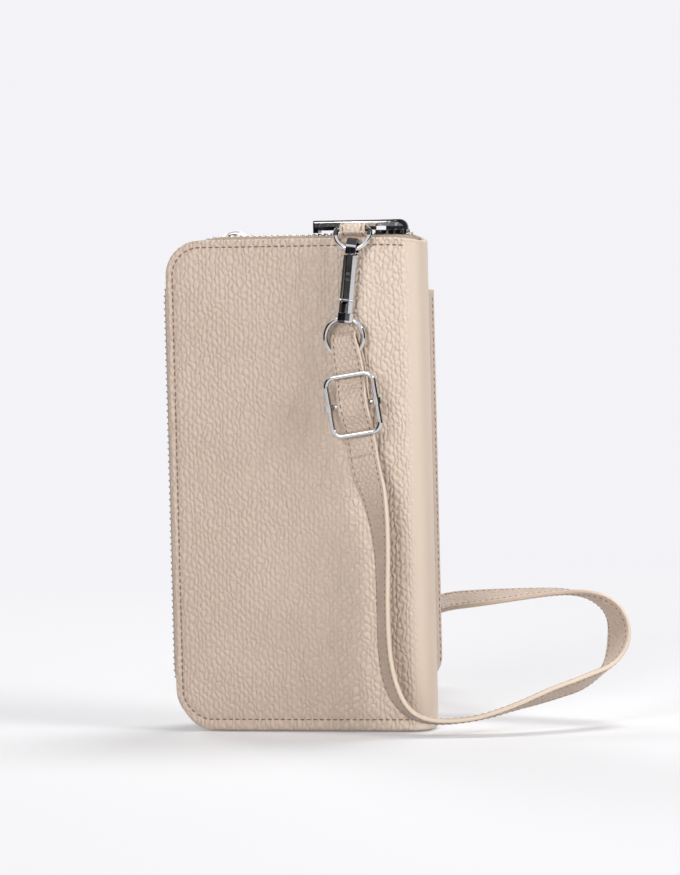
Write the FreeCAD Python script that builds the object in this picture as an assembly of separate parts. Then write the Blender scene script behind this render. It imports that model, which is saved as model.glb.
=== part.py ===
import FreeCAD, Part
import math
import os

# A zip-around phone pouch in leather, standing on its bottom edge, with a clip-on shoulder strap.
# Millimetres. X runs towards the spine, Y away from the plain face, Z up. Every piece is built about the
# plane of the zip and moved onto the shared frame when it is written.

# Covers and spine
cover_width = 102.0
cover_height = 190.0
body_depth = 23.0
corner_radius = 14.0
spine_radius = 9.0
leather = 1.2
board_thickness = 1.3
lining_thickness = 0.6
hem = 1.4
rim_round = 0.9
lining_inset = 2.2
spine_wall = 1.8

# Zip: tape, teeth, stops
tape_thickness = 0.7
tape_edge = 1.4
tape_flat_end = 4.9
tape_side_fall = 1.3
seam_inset = 1.5
tape_end_gap = 5.1
zip_margin = 4.1
chain_side_reach = 2.4
chain_top_reach = 0.4
chain_base_reach = 1.8
chain_corner_radius = 24.0
tooth_spacing = 2.5
tooth_length = 1.1
tooth_height = 2.0
tooth_leg = 2.3
tooth_head = 0.6
tooth_head_height = 1.0
tooth_shoulder = 0.1
slot_clearance = 0.1
stop_length = 1.2
stop_gap = 0.15
stop_edge = 0.5
stop_shoulder = 0.9
stop_edge_height = 1.4

# Zip slider and pull
slider_length = 12.6
slider_front_width = 8.4
slider_rear_width = 6.8
slider_plate = 0.9
slider_wall = 0.8
slider_tooth_gap = 0.25
slider_tape_gap = 0.25
slider_corner = 1.2
slider_end_gap = 1.7
diamond_length = 2.8
diamond_width = 2.2
diamond_setback = 0.9
bridge_length = 8.6
bridge_ahead = 2.0
bridge_width = 1.6
bridge_height = 4.0
bridge_round = 1.7
bridge_slope = 3.3
pin_diameter = 1.2
pin_rise = 2.5
pin_setback = 1.2
pin_hole_gap = 0.3
pull_reach = 31.8
pull_width = 5.6
pull_height = 2.4
pull_floor_gap = 0.3
pull_wall = 0.9
pull_cap = 2.0
pull_cap_drop = 2.4
pull_web_lift = 0.8
pull_web_gap = 0.6
pull_arm_gap = 0.35
pull_eye_wall = 0.5
pull_slot = 5.2
pull_back_round = 0.9

# Loops of leather and D rings
ring_wire = 2.0
d_ring_width = 15.6
d_ring_height = 7.6
d_ring_corner = 1.6
d_ring_tilt = 23.0
tab_width = 9.9
tab_ply = 0.9
ply_gap = 0.06
tab_bend_radius = 1.75
tab_over_radius = 2.5
tab_under_radius = 1.0
tab_tail = 8.0
tab_rise = 3.5
tab_standoff = 1.4
tab_under_fall = 17.0
tab_setback = 25.7
chape_inset = 22.45
chape_drop = 6.9
chape_length = 14.0
chape_join = 5.0
chape_sewn = 6.0

# Swivel hooks, drawn along their own axis from the hole that takes the strap ring
hook_width = 5.2
hook_bevel = 1.25
crook_width = 3.9
hook_spine = 1.5
hook_back = 3.7
hook_front = 3.5
hook_base = 3.4
hook_base_gap = 0.2
throat_width = 3.8
throat_centre = 27.6
bill_length = 2.6
cheek_thickness = 1.35
cheek_top = 24.4
gate_width = 2.0
gate_thickness = 1.3
gate_gap = 0.2
gate_pivot_rise = 7.0
gate_pivot_inset = 0.8
gate_pivot_round = 1.0
gate_pin_diameter = 1.1
gate_pin_gap = 0.05
nib_rise = 14.5
nib_length = 3.4
nib_reach = 0.8
nib_width = 1.6
spring_thickness = 0.3
spring_width = 1.2
spring_foot = 3.0
spring_rise = 6.4
spring_reach = 14.0
collar_width = 4.4
collar_length = 6.2
collar_below = 2.1
collar_above = 1.9
collar_round = 1.2
collar_hole = 2.3
post_diameter = 1.6
post_hole_gap = 0.1
post_head = 2.2
post_head_height = 0.8
post_head_gap = 0.1
strap_ring_diameter = 17.0
hook_tilt = 6.7
hook_wire_offset = 0.3

# Strap and its slider buckle
strap_width = 12.0
strap_thickness = 1.8
sewn_thickness = 1.2
strap_tilt = 8.5
ring_setback = 3.75
ring_drop = 38.3
fold_clear = 0.25
fold_top = 1.9
back_ply_run = 12.0
buckle_run = 26.2
buckle_width = 21.0
buckle_height = 25.0
buckle_wire = 2.0
buckle_corner = 4.6
buckle_gap = 0.2
bar_diameter = 2.0
bar_wrap_gap = 0.15
bar_wrap_turn = 250.0
collar_band_length = 2.6
collar_band_wall = 0.6
collar_band_gap = 0.05
strap_top_end = 46.0
strap_lead = 7.5

# The strap's way down the plain face, out to the right, back behind the pouch and down to its coil:
# each station is a point, in route units, and the direction from the strap's far edge to its near one.
route_unit = 1.0
strap_stations = [
    (34.8, -19.2, 91.0, 0.90, -0.42, 0.10),
    (37.6, -19.6, 72.0, 0.62, -0.78, 0.0),
    (37.4, -20.0, 50.0, 0.52, -0.85, 0.0),
    (37.6, -21.0, 31.0, 0.55, -0.83, 0.10),
    (39.8, -21.5, 17.0, 0.55, -0.80, 0.25),
    (45.0, -22.0, 7.5, 0.40, -0.88, 0.30),
    (53.0, -22.0, 3.2, 0.12, -0.98, 0.25),
    (62.5, -21.0, 2.6, -0.05, -0.99, 0.15),
    (75.0, -18.5, 4.0, -0.15, -0.98, 0.05),
    (88.0, -13.0, 8.0, -0.20, -0.97, 0.05),
    (100.0, -5.0, 12.0, -0.20, -0.95, 0.25),
    (112.0, 5.0, 15.5, -0.10, -0.95, 0.30),
    (120.0, 15.0, 20.5, 0.42, -0.90, 0.10),
    (122.0, 25.0, 29.7, 0.80, -0.60, 0.0),
    (118.5, 33.0, 39.5, 0.64, -0.74, 0.20),
    (108.5, 40.0, 45.6, 0.26, -0.93, 0.25),
    (94.0, 46.0, 46.8, 0.05, -0.99, 0.0),
    (77.0, 50.0, 45.2, 0.0, -0.97, -0.20),
    (60.0, 54.0, 43.4, 0.0, -0.92, -0.38),
    (44.5, 59.0, 41.6, 0.0, -0.90, -0.45),
    (31.0, 69.0, 36.0, -0.20, -0.70, -0.65),
    (22.0, 84.0, 25.0, -0.20, -0.40, -0.90),
    (17.2, 102.0, 10.3, 0.0, -0.10, -0.99),
    (16.4, 119.0, 3.9, 0.0, 0.0, -1.0),
]
station_steps = 3
line_steps = 36
front_run_count = 9
loop_run_count = 20
coil_x = -22.0
coil_y = 134.0
coil_lift = 0.7
coil_core = 24.0
coil_pitch = 4.8
coil_turns = 3
tail_run = 26.0
tail_rise = 2.2
end_loop_run = 24.0
end_ply_run = 5.0
end_ply_join = 7.0
end_ply_sewn = 7.0
end_hook_droop = 8.5
tie_width = 6.0
tie_thickness = 0.5
tie_gap = 0.3

# Inside: card pockets, slip pocket, divider, gussets
pocket_ply = 0.7
pocket_side_gap = 3.0
pocket_base = 12.0
card_pocket_top = 100.0
card_pocket_step = 16.0
card_pocket_count = 3
slip_pocket_top_gap = 62.0
divider_thickness = 1.2
divider_base = 24.0
divider_top_gap = 24.0
divider_left_gap = 9.0
divider_right_gap = 0.3
gusset_cloth = 0.5
gusset_inset = 6.0
gusset_depth = 12.0
gusset_left_gap = 9.0
gusset_right_gap = 1.5
gusset_seam_gap = 0.1

# Phone pocket on the far face
phone_room_depth = 9.0
phone_wall = 1.3
phone_back_ply = 0.8
phone_left_gap = 4.5
phone_right_gap = 3.0
phone_base = 14.0
phone_top_gap = 22.0
phone_corner = 10.0
phone_edge_round = 2.6

overrun = 5.0
pick = 0.05

# Derived sizes
V = FreeCAD.Vector
half_depth = body_depth / 2
cover_thickness = leather + board_thickness
spine_x = (cover_width + zip_margin) / 2
cover_left = spine_x - cover_width
tab_x = spine_x - tab_setback
chape_x = cover_left + chape_inset
ring_x = tab_x - ring_setback
flat_end = spine_x - spine_radius
lining_face = half_depth - cover_thickness - lining_thickness
board_face = half_depth - leather
chain_left = cover_left - chain_side_reach
chain_top = cover_height + chain_top_reach
chain_base = -chain_base_reach
floor_z = chain_base - tooth_height / 2
tape_end = spine_x - tape_end_gap
wire_radius = ring_wire / 2
phone_top = cover_height - phone_top_gap
divider_top = cover_height - divider_top_gap
slip_pocket_top = cover_height - slip_pocket_top_gap
phone_outer = half_depth + phone_back_ply + phone_room_depth + phone_wall
d_ring_near = half_depth + tab_standoff + d_ring_height * math.sin(math.radians(d_ring_tilt)) + wire_radius
zip_y = (d_ring_near - phone_outer) / 2

nodes = {}


def vec(x, y, z):
    return V(x, y, z)


def frame(origin, x_axis, z_axis):
    """Placement whose local X and Z point along the two given directions."""
    x = V(x_axis).normalize()
    y = V(z_axis).cross(x).normalize()
    z = x.cross(y)
    m = FreeCAD.Matrix(x.x, y.x, z.x, origin.x, x.y, y.y, z.y, origin.y, x.z, y.z, z.z, origin.z, 0, 0, 0, 1)
    return FreeCAD.Placement(m)


def moved(shape, placement):
    copy = shape.copy()
    copy.Placement = placement.multiply(copy.Placement)
    return copy


def box(x0, x1, y0, y1, z0, z1):
    low = vec(min(x0, x1), min(y0, y1), min(z0, z1))
    return Part.makeBox(abs(x1 - x0), abs(y1 - y0), abs(z1 - z0), low)


def rod(start, end, radius):
    return Part.makeCylinder(radius, (end - start).Length, start, end - start)


def polygon(points):
    return Part.Face(Part.makePolygon(points + points[:1]))


def strip(start, heading, moves, half):
    """Face of a strip of leather seen on edge: runs (length) and turns (radius, angle, left positive)."""
    here = V(start[0], start[1], 0)
    angle = math.radians(heading)
    left, right, line = [], [], []
    first = last = None
    for move in moves:
        side = V(-math.sin(angle), math.cos(angle), 0)
        if first is None:
            first = (here + side * half, here - side * half)
        if len(move) == 1:
            there = here + V(math.cos(angle), math.sin(angle), 0) * move[0]
            line += [here + (there - here) * (k / line_steps) for k in range(line_steps)]
            left.append(Part.LineSegment(here + side * half, there + side * half).toShape())
            right.append(Part.LineSegment(here - side * half, there - side * half).toShape())
        else:
            way = math.copysign(1, move[1])
            turn = math.radians(move[1])
            centre = here + side * (way * move[0])
            spoke = here - centre
            mid = FreeCAD.Rotation(V(0, 0, 1), move[1] / 2).multVec(spoke)
            end = FreeCAD.Rotation(V(0, 0, 1), move[1]).multVec(spoke)
            for k in range(line_steps):
                line.append(centre + FreeCAD.Rotation(V(0, 0, 1), move[1] * k / line_steps).multVec(spoke))
            for edges, offset in ((left, -way * half), (right, way * half)):
                scale = (move[0] + offset) / move[0]
                arc = Part.Arc(centre + spoke * scale, centre + mid * scale, centre + end * scale)
                edges.append(arc.toShape())
            there = centre + end
            angle += turn
        here = there
        side = V(-math.sin(angle), math.cos(angle), 0)
        last = (here + side * half, here - side * half)
    caps = [Part.LineSegment(first[1], first[0]).toShape(), Part.LineSegment(last[0], last[1]).toShape()]
    wire = Part.Wire(Part.__sortEdges__(left + [caps[1]] + right[::-1] + [caps[0]]))
    return Part.Face(wire), line + [here]


def s_curve(along, across):
    """Radius and angle of the two equal turns that carry a strip sideways."""
    angle = 2 * math.atan2(abs(across), along)
    return along / (2 * math.sin(angle)), math.degrees(angle)


def round_plate(left, right, base, top, radius, y0, y1, right_radius=0.0):
    """Upright plate between two depths with its left corners (and, if asked, its right ones) rounded."""
    plate = box(left, right, y0, y1, base, top)
    upright = [e for e in plate.Edges if abs(e.BoundBox.YLength - abs(y1 - y0)) < pick
               and e.BoundBox.XLength + e.BoundBox.ZLength < pick]
    lefts = [e for e in upright if abs(e.BoundBox.XMin - left) < pick]
    plate = plate.makeFillet(radius, lefts)
    if right_radius > 0:
        rights = [e for e in plate.Edges if e.BoundBox.XMin > right - pick
                  and e.BoundBox.YLength > abs(y1 - y0) - pick]
        plate = plate.makeFillet(right_radius, rights)
    return plate


def outline(left, right, base, top, radius, y):
    """Closed wire of a rectangle with rounded left corners, in the plane at depth y."""
    lean = radius * math.sqrt(0.5)
    low = vec(left + radius, y, base + radius)
    high = vec(left + radius, y, top - radius)
    p = [vec(right, y, base), vec(left + radius, y, base), low + vec(-lean, 0, -lean),
         vec(left, y, base + radius), vec(left, y, top - radius), high + vec(-lean, 0, lean),
         vec(left + radius, y, top), vec(right, y, top)]
    edges = [Part.LineSegment(p[0], p[1]).toShape(), Part.Arc(p[1], p[2], p[3]).toShape(),
             Part.LineSegment(p[3], p[4]).toShape(), Part.Arc(p[4], p[5], p[6]).toShape(),
             Part.LineSegment(p[6], p[7]).toShape(), Part.LineSegment(p[7], p[0]).toShape()]
    return Part.Wire(edges)


def ring(path, radius):
    """Round wire swept along a closed path of lines and tangent arcs."""
    start = path.Edges[0]
    point = start.valueAt(start.FirstParameter)
    tangent = start.tangentAt(start.FirstParameter)
    section = Part.Wire(Part.makeCircle(radius, point, tangent))
    return path.makePipeShell([section], True, False)


# Tail of the leather loop: lies where the board and lining of the near cover are cut away.
tail_box = box(tab_x - tab_width / 2, tab_x + tab_width / 2, -lining_face, -board_face,
               cover_height - tab_tail, cover_height + overrun)


def cover_set(side, name):
    """Leather with its turned edge, the board in it and the lining over it."""
    outer = side * half_depth
    inner = side * (half_depth - cover_thickness)
    skin = round_plate(cover_left, flat_end, 0, cover_height, corner_radius, outer, inner)
    rim = [e for e in skin.Edges if e.BoundBox.YLength < pick
           and abs(e.BoundBox.YMin - outer) < pick and e.BoundBox.XMin < flat_end - pick]
    skin = skin.makeFillet(rim_round, rim)
    board = round_plate(cover_left + hem, flat_end - hem, hem, cover_height - hem, corner_radius - hem,
                        side * board_face, inner)
    lining = round_plate(cover_left + lining_inset, flat_end, lining_inset, cover_height - lining_inset,
                         corner_radius - lining_inset, inner, side * lining_face)
    skin = skin.cut(board)
    if side < 0:
        skin, board, lining = skin.cut(tail_box), board.cut(tail_box), lining.cut(tail_box)
    nodes[name + "_cover"] = skin
    nodes[name + "_board"] = board
    nodes[name + "_lining"] = lining


def spine():
    """Leather carried round the back in one piece with the covers; it bends when the pouch opens."""
    flat = body_depth - 2 * spine_radius
    middle = spine_radius - spine_wall / 2
    face, _ = strip((flat_end, -half_depth + spine_wall / 2), 0,
                    [(middle, 90.0), (flat,), (middle, 90.0)], spine_wall / 2)
    return face.extrude(vec(0, 0, cover_height))


def tape(side):
    """Zip tape: sewn to the lining, rising to the chain and lying flat under the slider's wings."""
    def walls(grow, reach):
        half = grow * tape_thickness / 2
        chain = (chain_left - half, tape_end + reach, chain_base - half, chain_top + half,
                 chain_corner_radius + half)
        fall = (chain_left + tape_side_fall - half, tape_end + reach, chain_base + tape_side_fall - half,
                chain_top + half, chain_corner_radius + half)
        seam = (cover_left + seam_inset - half, tape_end + reach, seam_inset - half,
                cover_height - seam_inset + half, corner_radius - seam_inset + half)
        wires = [outline(*chain, side * tape_edge), outline(*chain, side * (tooth_leg + slot_clearance)),
                 outline(*fall, side * tape_flat_end), outline(*seam, side * lining_face)]
        return Part.makeLoft(wires, True, True)
    return walls(1, 0).cut(walls(-1, overrun))


def chain_point(run):
    """Point and outward direction on the chain's line, measured from its top end at the spine."""
    straight_top = tape_end - (chain_left + chain_corner_radius)
    arc = chain_corner_radius * math.pi / 2
    side = chain_top - chain_base - 2 * chain_corner_radius
    corner_x = chain_left + chain_corner_radius
    if run < straight_top:
        return vec(tape_end - run, 0, chain_top), 90.0
    run -= straight_top
    if run < arc:
        turn = 90.0 + math.degrees(run / chain_corner_radius)
        centre = vec(corner_x, 0, chain_top - chain_corner_radius)
    else:
        run -= arc
        if run < side:
            return vec(chain_left, 0, chain_top - chain_corner_radius - run), 180.0
        run -= side
        if run > arc:
            return vec(corner_x + run - arc, 0, chain_base), 270.0
        turn = 180.0 + math.degrees(run / chain_corner_radius)
        centre = vec(corner_x, 0, chain_base + chain_corner_radius)
    out = vec(math.cos(math.radians(turn)), 0, math.sin(math.radians(turn)))
    return centre + out * chain_corner_radius, turn


chain_length = (2 * (tape_end - chain_left - chain_corner_radius) + chain_corner_radius * math.pi
                + chain_top - chain_base - 2 * chain_corner_radius)
slider_x = tape_end - slider_end_gap - slider_length / 2
teeth_start = tape_end - slider_x + slider_length / 2 - diamond_length
teeth_end = chain_length - stop_length - 2 * stop_gap


def clamp(side, length, shoulder, edge, edge_height):
    """Metal clamped over the tape's edge: two legs, and a head towards the other side."""
    half = tooth_height / 2
    slot = tape_thickness / 2 + slot_clearance
    root = tape_edge - slot_clearance
    outline_points = [(tooth_leg, half), (shoulder, half), (edge, edge_height / 2), (edge, -edge_height / 2),
                      (shoulder, -half), (tooth_leg, -half), (tooth_leg, -slot), (root, -slot), (root, slot),
                      (tooth_leg, slot)]
    face = polygon([vec(-length / 2, side * y, n) for y, n in outline_points])
    return face.extrude(vec(length, 0, 0))


def on_chain(shape, run):
    point, turn = chain_point(run)
    lean = FreeCAD.Rotation(V(0, 1, 0), 90.0 - turn)
    return moved(shape, FreeCAD.Placement(point, lean))


def teeth(side, shift):
    tooth = clamp(side, tooth_length, tooth_shoulder, -tooth_head, tooth_head_height)
    count = int((teeth_end - teeth_start) / tooth_spacing)
    runs = [teeth_start + (i + shift) * tooth_spacing for i in range(count)]
    return Part.makeCompound([on_chain(tooth, run) for run in runs])


def stops(side):
    block = clamp(side, stop_length, stop_shoulder, stop_edge, stop_edge_height)
    ends = (stop_length / 2 + stop_gap, chain_length - stop_length / 2 - stop_gap)
    return Part.makeCompound([on_chain(block, run) for run in ends])


plate_inside = tooth_height / 2 + slider_tooth_gap
plate_outside = plate_inside + slider_plate
slider_top = chain_top + plate_outside


def slider():
    """Zip slider: two plates, edges turned in over the tapes, and the wedge that parts the teeth."""
    def plan(inset, low, high):
        front = slider_front_width / 2 - inset
        rear = slider_rear_width / 2 - inset
        reach = slider_length / 2
        points = [(reach, -front), (reach, front), (-reach, rear), (-reach, -rear)]
        face = polygon([vec(slider_x + x, y, chain_top + low) for x, y in points])
        return face.extrude(vec(0, 0, high - low))
    body = plan(0, -plate_outside, plate_outside)
    corners = [e for e in body.Edges if e.BoundBox.ZLength > plate_outside]
    body = body.makeFillet(slider_corner, corners)
    body = body.cut(plan(slider_wall, -plate_inside, plate_inside))
    gap = tape_thickness / 2 + slider_tape_gap
    body = body.cut(box(slider_x - slider_length, slider_x + slider_length, -slider_front_width,
                        slider_front_width, chain_top - gap, chain_top + gap))
    nose = slider_x + slider_length / 2 - diamond_setback
    wedge = polygon([vec(nose, 0, chain_top - plate_outside),
                     vec(nose - diamond_length / 3, diamond_width / 2, chain_top - plate_outside),
                     vec(nose - diamond_length, 0, chain_top - plate_outside),
                     vec(nose - diamond_length / 3, -diamond_width / 2, chain_top - plate_outside)])
    return body.fuse(wedge.extrude(vec(0, 0, 2 * plate_outside))).removeSplitter()


bridge_x = slider_x + bridge_ahead
pin_x = bridge_x - pin_setback
pin_z = slider_top + pin_rise


def bridge():
    """Domed block on the slider, bored for the pull's pin."""
    reach = bridge_length / 2
    top = slider_top + bridge_height
    dome = box(bridge_x - reach, bridge_x + reach, -bridge_width / 2, bridge_width / 2, slider_top, top)
    for end, size in ((bridge_x - reach, bridge_round), (bridge_x + reach, bridge_slope)):
        shoulder = [e for e in dome.Edges if e.BoundBox.ZMin > top - pick and e.BoundBox.XLength < pick
                    and abs(e.BoundBox.XMin - end) < pick]
        dome = dome.makeFillet(size, shoulder)
    return dome.cut(rod(vec(pin_x, -bridge_width, pin_z), vec(pin_x, bridge_width, pin_z),
                        pin_diameter / 2 + pin_hole_gap))


def pull():
    """Slim round-backed bar with a wall down its far side and a turned-down tip, forked at the bridge."""
    foot = chain_top + tooth_height / 2 + pull_floor_gap
    base = foot + pull_cap_drop
    left = pin_x - pull_reach
    top = base + pull_height
    side = pull_width / 2
    bar = box(left, pin_x, -side, side, base, top).fuse(box(left, left + pull_cap, -side, side, foot, top))
    web_end = slider_x - slider_length / 2 - pull_web_gap
    web = box(left, web_end, side - pull_wall, side, foot + pull_web_lift, top)
    bar = bar.fuse(web).removeSplitter()
    back = [e for e in bar.Edges if e.BoundBox.XLength > pull_reach - pick and e.BoundBox.ZMin > top - pick]
    bar = bar.makeFillet(pull_back_round, back)
    arm_face = bridge_width / 2 + pull_arm_gap
    slot = box(pin_x - pull_slot, pin_x + overrun, -arm_face, arm_face, foot - overrun, top + overrun)
    bar = bar.cut(slot)
    eye = pin_diameter / 2 + pull_eye_wall
    for way in (-1, 1):
        bar = bar.fuse(rod(vec(pin_x, way * arm_face, pin_z), vec(pin_x, way * side, pin_z), eye))
    pin = rod(vec(pin_x, -side, pin_z), vec(pin_x, side, pin_z), pin_diameter / 2)
    return bar.fuse(pin).removeSplitter()


def across_x(face, middle, width):
    """A strip drawn in depth and height, given its width along X."""
    solid = face.extrude(vec(0, 0, width))
    turn = frame(vec(middle - width / 2, 0, 0), vec(0, 1, 0), vec(1, 0, 0))
    return moved(solid, turn)


tab_bar_y = -(half_depth + tab_standoff)
tab_bar_z = cover_height + tab_rise
chape_bar_y = half_depth + tab_ply / 2 + tab_bend_radius
chape_bar_z = cover_height - chape_drop


def near_tab():
    """Folded loop sewn into the top seam of the near cover, its bend round the D ring's bar."""
    half = tab_ply / 2
    inner = -lining_face - half
    outer = -board_face + half
    crest = tab_bar_z + tab_bend_radius
    fall = math.radians(tab_under_fall)
    under = ((outer - tab_bar_y + tab_bend_radius * math.sin(fall) - tab_under_radius * (1 - math.sin(fall)))
             / math.cos(fall))
    keel = tab_bar_z - (tab_bend_radius + tab_under_radius) * math.cos(fall) - under * math.sin(fall)
    moves = [(crest - tab_over_radius - cover_height + tab_tail,), (tab_over_radius, 90.0),
             (inner - tab_over_radius - tab_bar_y,), (tab_bend_radius, 180.0 - tab_under_fall),
             (under,), (tab_under_radius, tab_under_fall - 90.0), (keel - cover_height + tab_tail,)]
    face, _ = strip((inner, cover_height - tab_tail), 90, moves, half)
    return across_x(face, tab_x, tab_width)


def far_chape():
    """Folded strip sewn to the far face, its bend round the second D ring's bar."""
    half = tab_ply / 2
    radius, angle = s_curve(chape_join, 2 * tab_bend_radius - tab_ply - ply_gap)
    moves = [(chape_length,), (tab_bend_radius, -180.0), (radius, -angle), (radius, angle), (chape_sewn,)]
    face, _ = strip((half_depth + half, chape_bar_z - chape_length), 90, moves, half)
    return across_x(face, chape_x, tab_width)


def d_ring():
    """D ring in its own plane: bar along X at the origin, bow reaching down Z."""
    half = d_ring_width / 2 - wire_radius
    straight = d_ring_height - half
    c = d_ring_corner
    lean = c * (1 - math.sqrt(0.5))
    p = [vec(-half + c, 0, 0), vec(half - c, 0, 0), vec(half - lean, 0, -lean), vec(half, 0, -c),
         vec(half, 0, -max(straight, c)), vec(0, 0, -max(straight, c) - half), vec(-half, 0, -max(straight, c)),
         vec(-half, 0, -c), vec(-half + lean, 0, -lean)]
    edges = [Part.LineSegment(p[0], p[1]).toShape(), Part.Arc(p[1], p[2], p[3]).toShape()]
    if straight > c:
        edges.append(Part.LineSegment(p[3], p[4]).toShape())
    edges.append(Part.Arc(p[4], p[5], p[6]).toShape())
    if straight > c:
        edges.append(Part.LineSegment(p[6], p[7]).toShape())
    edges.append(Part.Arc(p[7], p[8], p[0]).toShape())
    return ring(Part.Wire(edges), wire_radius)


def hook_set(place, name):
    """Swivel snap hook: body, sprung gate on its pin, leaf spring and the collar that turns in its base."""
    half = hook_width / 2
    base_low = collar_above + hook_base_gap
    base_high = base_low + hook_base
    inner_back = hook_back - hook_spine
    gate_inner = inner_back - throat_width
    bill_front = gate_inner - hook_spine
    bow_y = inner_back - throat_width / 2
    bill_end = throat_centre - bill_length
    slim = crook_width / 2
    spine_bar = box(-slim, slim, inner_back, hook_back, base_low, throat_centre)
    bow = rod(vec(-slim, bow_y, throat_centre), vec(slim, bow_y, throat_centre), throat_width / 2 + hook_spine)
    bow = bow.common(box(-slim, slim, bill_front - overrun, hook_back + overrun,
                         throat_centre, throat_centre + throat_width + hook_spine))
    bow = bow.cut(rod(vec(-half, bow_y, throat_centre), vec(half, bow_y, throat_centre), throat_width / 2))
    bill = box(-slim, slim, bill_front, gate_inner, bill_end, throat_centre)
    plan = [(-half, hook_back), (-half, hook_bevel - hook_front), (hook_bevel - half, -hook_front),
            (half - hook_bevel, -hook_front), (half, hook_bevel - hook_front), (half, hook_back)]
    trough = polygon([vec(x, y, base_low) for x, y in plan]).extrude(vec(0, 0, cheek_top - base_low))
    room = half - cheek_thickness
    trough = trough.cut(box(-room, room, -hook_front - overrun, inner_back, base_high, cheek_top + overrun))
    pivot_y = gate_inner - gate_gap - gate_thickness / 2
    pin_line = (vec(-half, pivot_y, gate_pivot_rise), vec(half, pivot_y, gate_pivot_rise))
    pin_radius = gate_pin_diameter / 2
    body = spine_bar.fuse([trough, bow, bill]).removeSplitter()
    body = body.cut(rod(*pin_line, pin_radius + gate_pin_gap))
    body = body.cut(rod(vec(0, 0, 0), vec(0, 0, base_high + overrun), post_diameter / 2 + post_hole_gap))

    gate_top = bill_end - gate_gap
    gate_low = gate_pivot_rise
    gate = box(-gate_width / 2, gate_width / 2, pivot_y - gate_thickness / 2, pivot_y + gate_thickness / 2,
               gate_low, gate_top)
    boss = rod(vec(-gate_width / 2, pivot_y, gate_pivot_rise), vec(gate_width / 2, pivot_y, gate_pivot_rise),
               gate_pivot_round)
    nib = polygon([vec(-nib_width / 2, pivot_y - gate_thickness / 2, nib_rise),
                   vec(-nib_width / 2, pivot_y - gate_thickness / 2 - nib_reach, nib_rise + nib_length / 3),
                   vec(-nib_width / 2, pivot_y - gate_thickness / 2 - nib_reach, nib_rise + nib_length * 2 / 3),
                   vec(-nib_width / 2, pivot_y - gate_thickness / 2, nib_rise + nib_length)])
    gate = gate.fuse([boss, nib.extrude(vec(nib_width, 0, 0))]).removeSplitter()
    gate = gate.cut(rod(*pin_line, pin_radius + gate_pin_gap))

    leaf_back = inner_back - slot_clearance
    leaf_front = pivot_y + gate_thickness / 2 + slot_clearance
    knee = spring_rise + spring_foot
    bend = [(leaf_back, spring_rise), (leaf_back, knee), (leaf_front, spring_reach),
            (leaf_front, spring_reach - spring_thickness),
            (leaf_back - spring_thickness, knee - spring_thickness), (leaf_back - spring_thickness, spring_rise)]
    leaf = polygon([vec(-spring_width / 2, y, z) for y, z in bend])

    reach = collar_length / 2
    width = collar_width / 2
    collar = box(-reach, reach, -width, width, -collar_below, collar_above)
    lower = [e for e in collar.Edges if e.BoundBox.ZMin < collar_above - pick]
    collar = collar.makeFillet(collar_round, lower)
    collar = collar.cut(Part.makeTorus(ring_line, collar_hole / 2, vec(0, 0, -ring_line), vec(0, 1, 0)))
    head_low = base_high + post_head_gap
    post = rod(vec(0, 0, collar_above), vec(0, 0, head_low), post_diameter / 2)
    head = rod(vec(0, 0, head_low), vec(0, 0, head_low + post_head_height), post_head / 2)
    collar = collar.fuse([post, head]).removeSplitter()

    nodes[name + "_body"] = moved(body, place)
    nodes[name + "_gate"] = moved(gate, place)
    nodes[name + "_gate_pin"] = moved(rod(*pin_line, pin_radius), place)
    nodes[name + "_spring"] = moved(leaf.extrude(vec(spring_width, 0, 0)), place)
    nodes[name + "_collar"] = moved(collar, place)
    return place.multVec(vec(0, pivot_y, gate_pivot_rise))


ring_line = strap_ring_diameter / 2 - wire_radius
lean = math.radians(hook_tilt)
hook_axis = vec(math.sin(lean), 0, math.cos(lean))
hook_across = vec(math.cos(lean), 0, -math.sin(lean))
d_ring_drop = d_ring_height * math.cos(math.radians(d_ring_tilt))
hook_plane = tab_bar_y - d_ring_height * math.sin(math.radians(d_ring_tilt)) - hook_wire_offset
ring_centre = vec(ring_x, hook_plane, cover_height - ring_drop)
strap_lean = math.radians(strap_tilt)
strap_down = vec(math.sin(strap_lean), 0, -math.cos(strap_lean))
strap_across = vec(math.cos(strap_lean), 0, math.sin(strap_lean))
strap_out = vec(0, -1, 0)


def strap_ring(centre, plane_normal):
    return Part.makeTorus(ring_line, wire_radius, centre, plane_normal)


def along_strap(face, width):
    """A strip drawn along the strap's top run (down it, and out from the cover), given its width."""
    solid = face.extrude(vec(0, 0, width))
    start = ring_centre + strap_across * (width / 2)
    return moved(solid, frame(start, strap_down, strap_across * -1))


ply = wire_radius + fold_clear + strap_thickness / 2
fold_run = ply + strap_thickness / 2 - fold_top
frame_out = ply + strap_thickness / 2 + buckle_gap + buckle_wire / 2
wrap_radius = bar_diameter / 2 + bar_wrap_gap + sewn_thickness / 2
bar_out = frame_out - buckle_wire / 2 - collar_band_gap - bar_diameter / 2
hump = bar_out + wrap_radius + sewn_thickness / 2 + buckle_gap + strap_thickness / 2 - ply
half_frame = (buckle_height - buckle_wire) / 2


def strap_top():
    """Strap folded through its ring, then woven behind the buckle's ends and over its middle bar."""
    radius, angle = s_curve(half_frame, hump)
    moves = [(back_ply_run - fold_run,), (ply, -180.0), (buckle_run - half_frame - fold_run,),
             (radius, angle), (radius, -angle), (radius, -angle), (radius, angle),
             (strap_top_end - buckle_run - half_frame,)]
    face, _ = strip((back_ply_run, -ply), 180, moves, strap_thickness / 2)
    return along_strap(face, strap_width)


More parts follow.
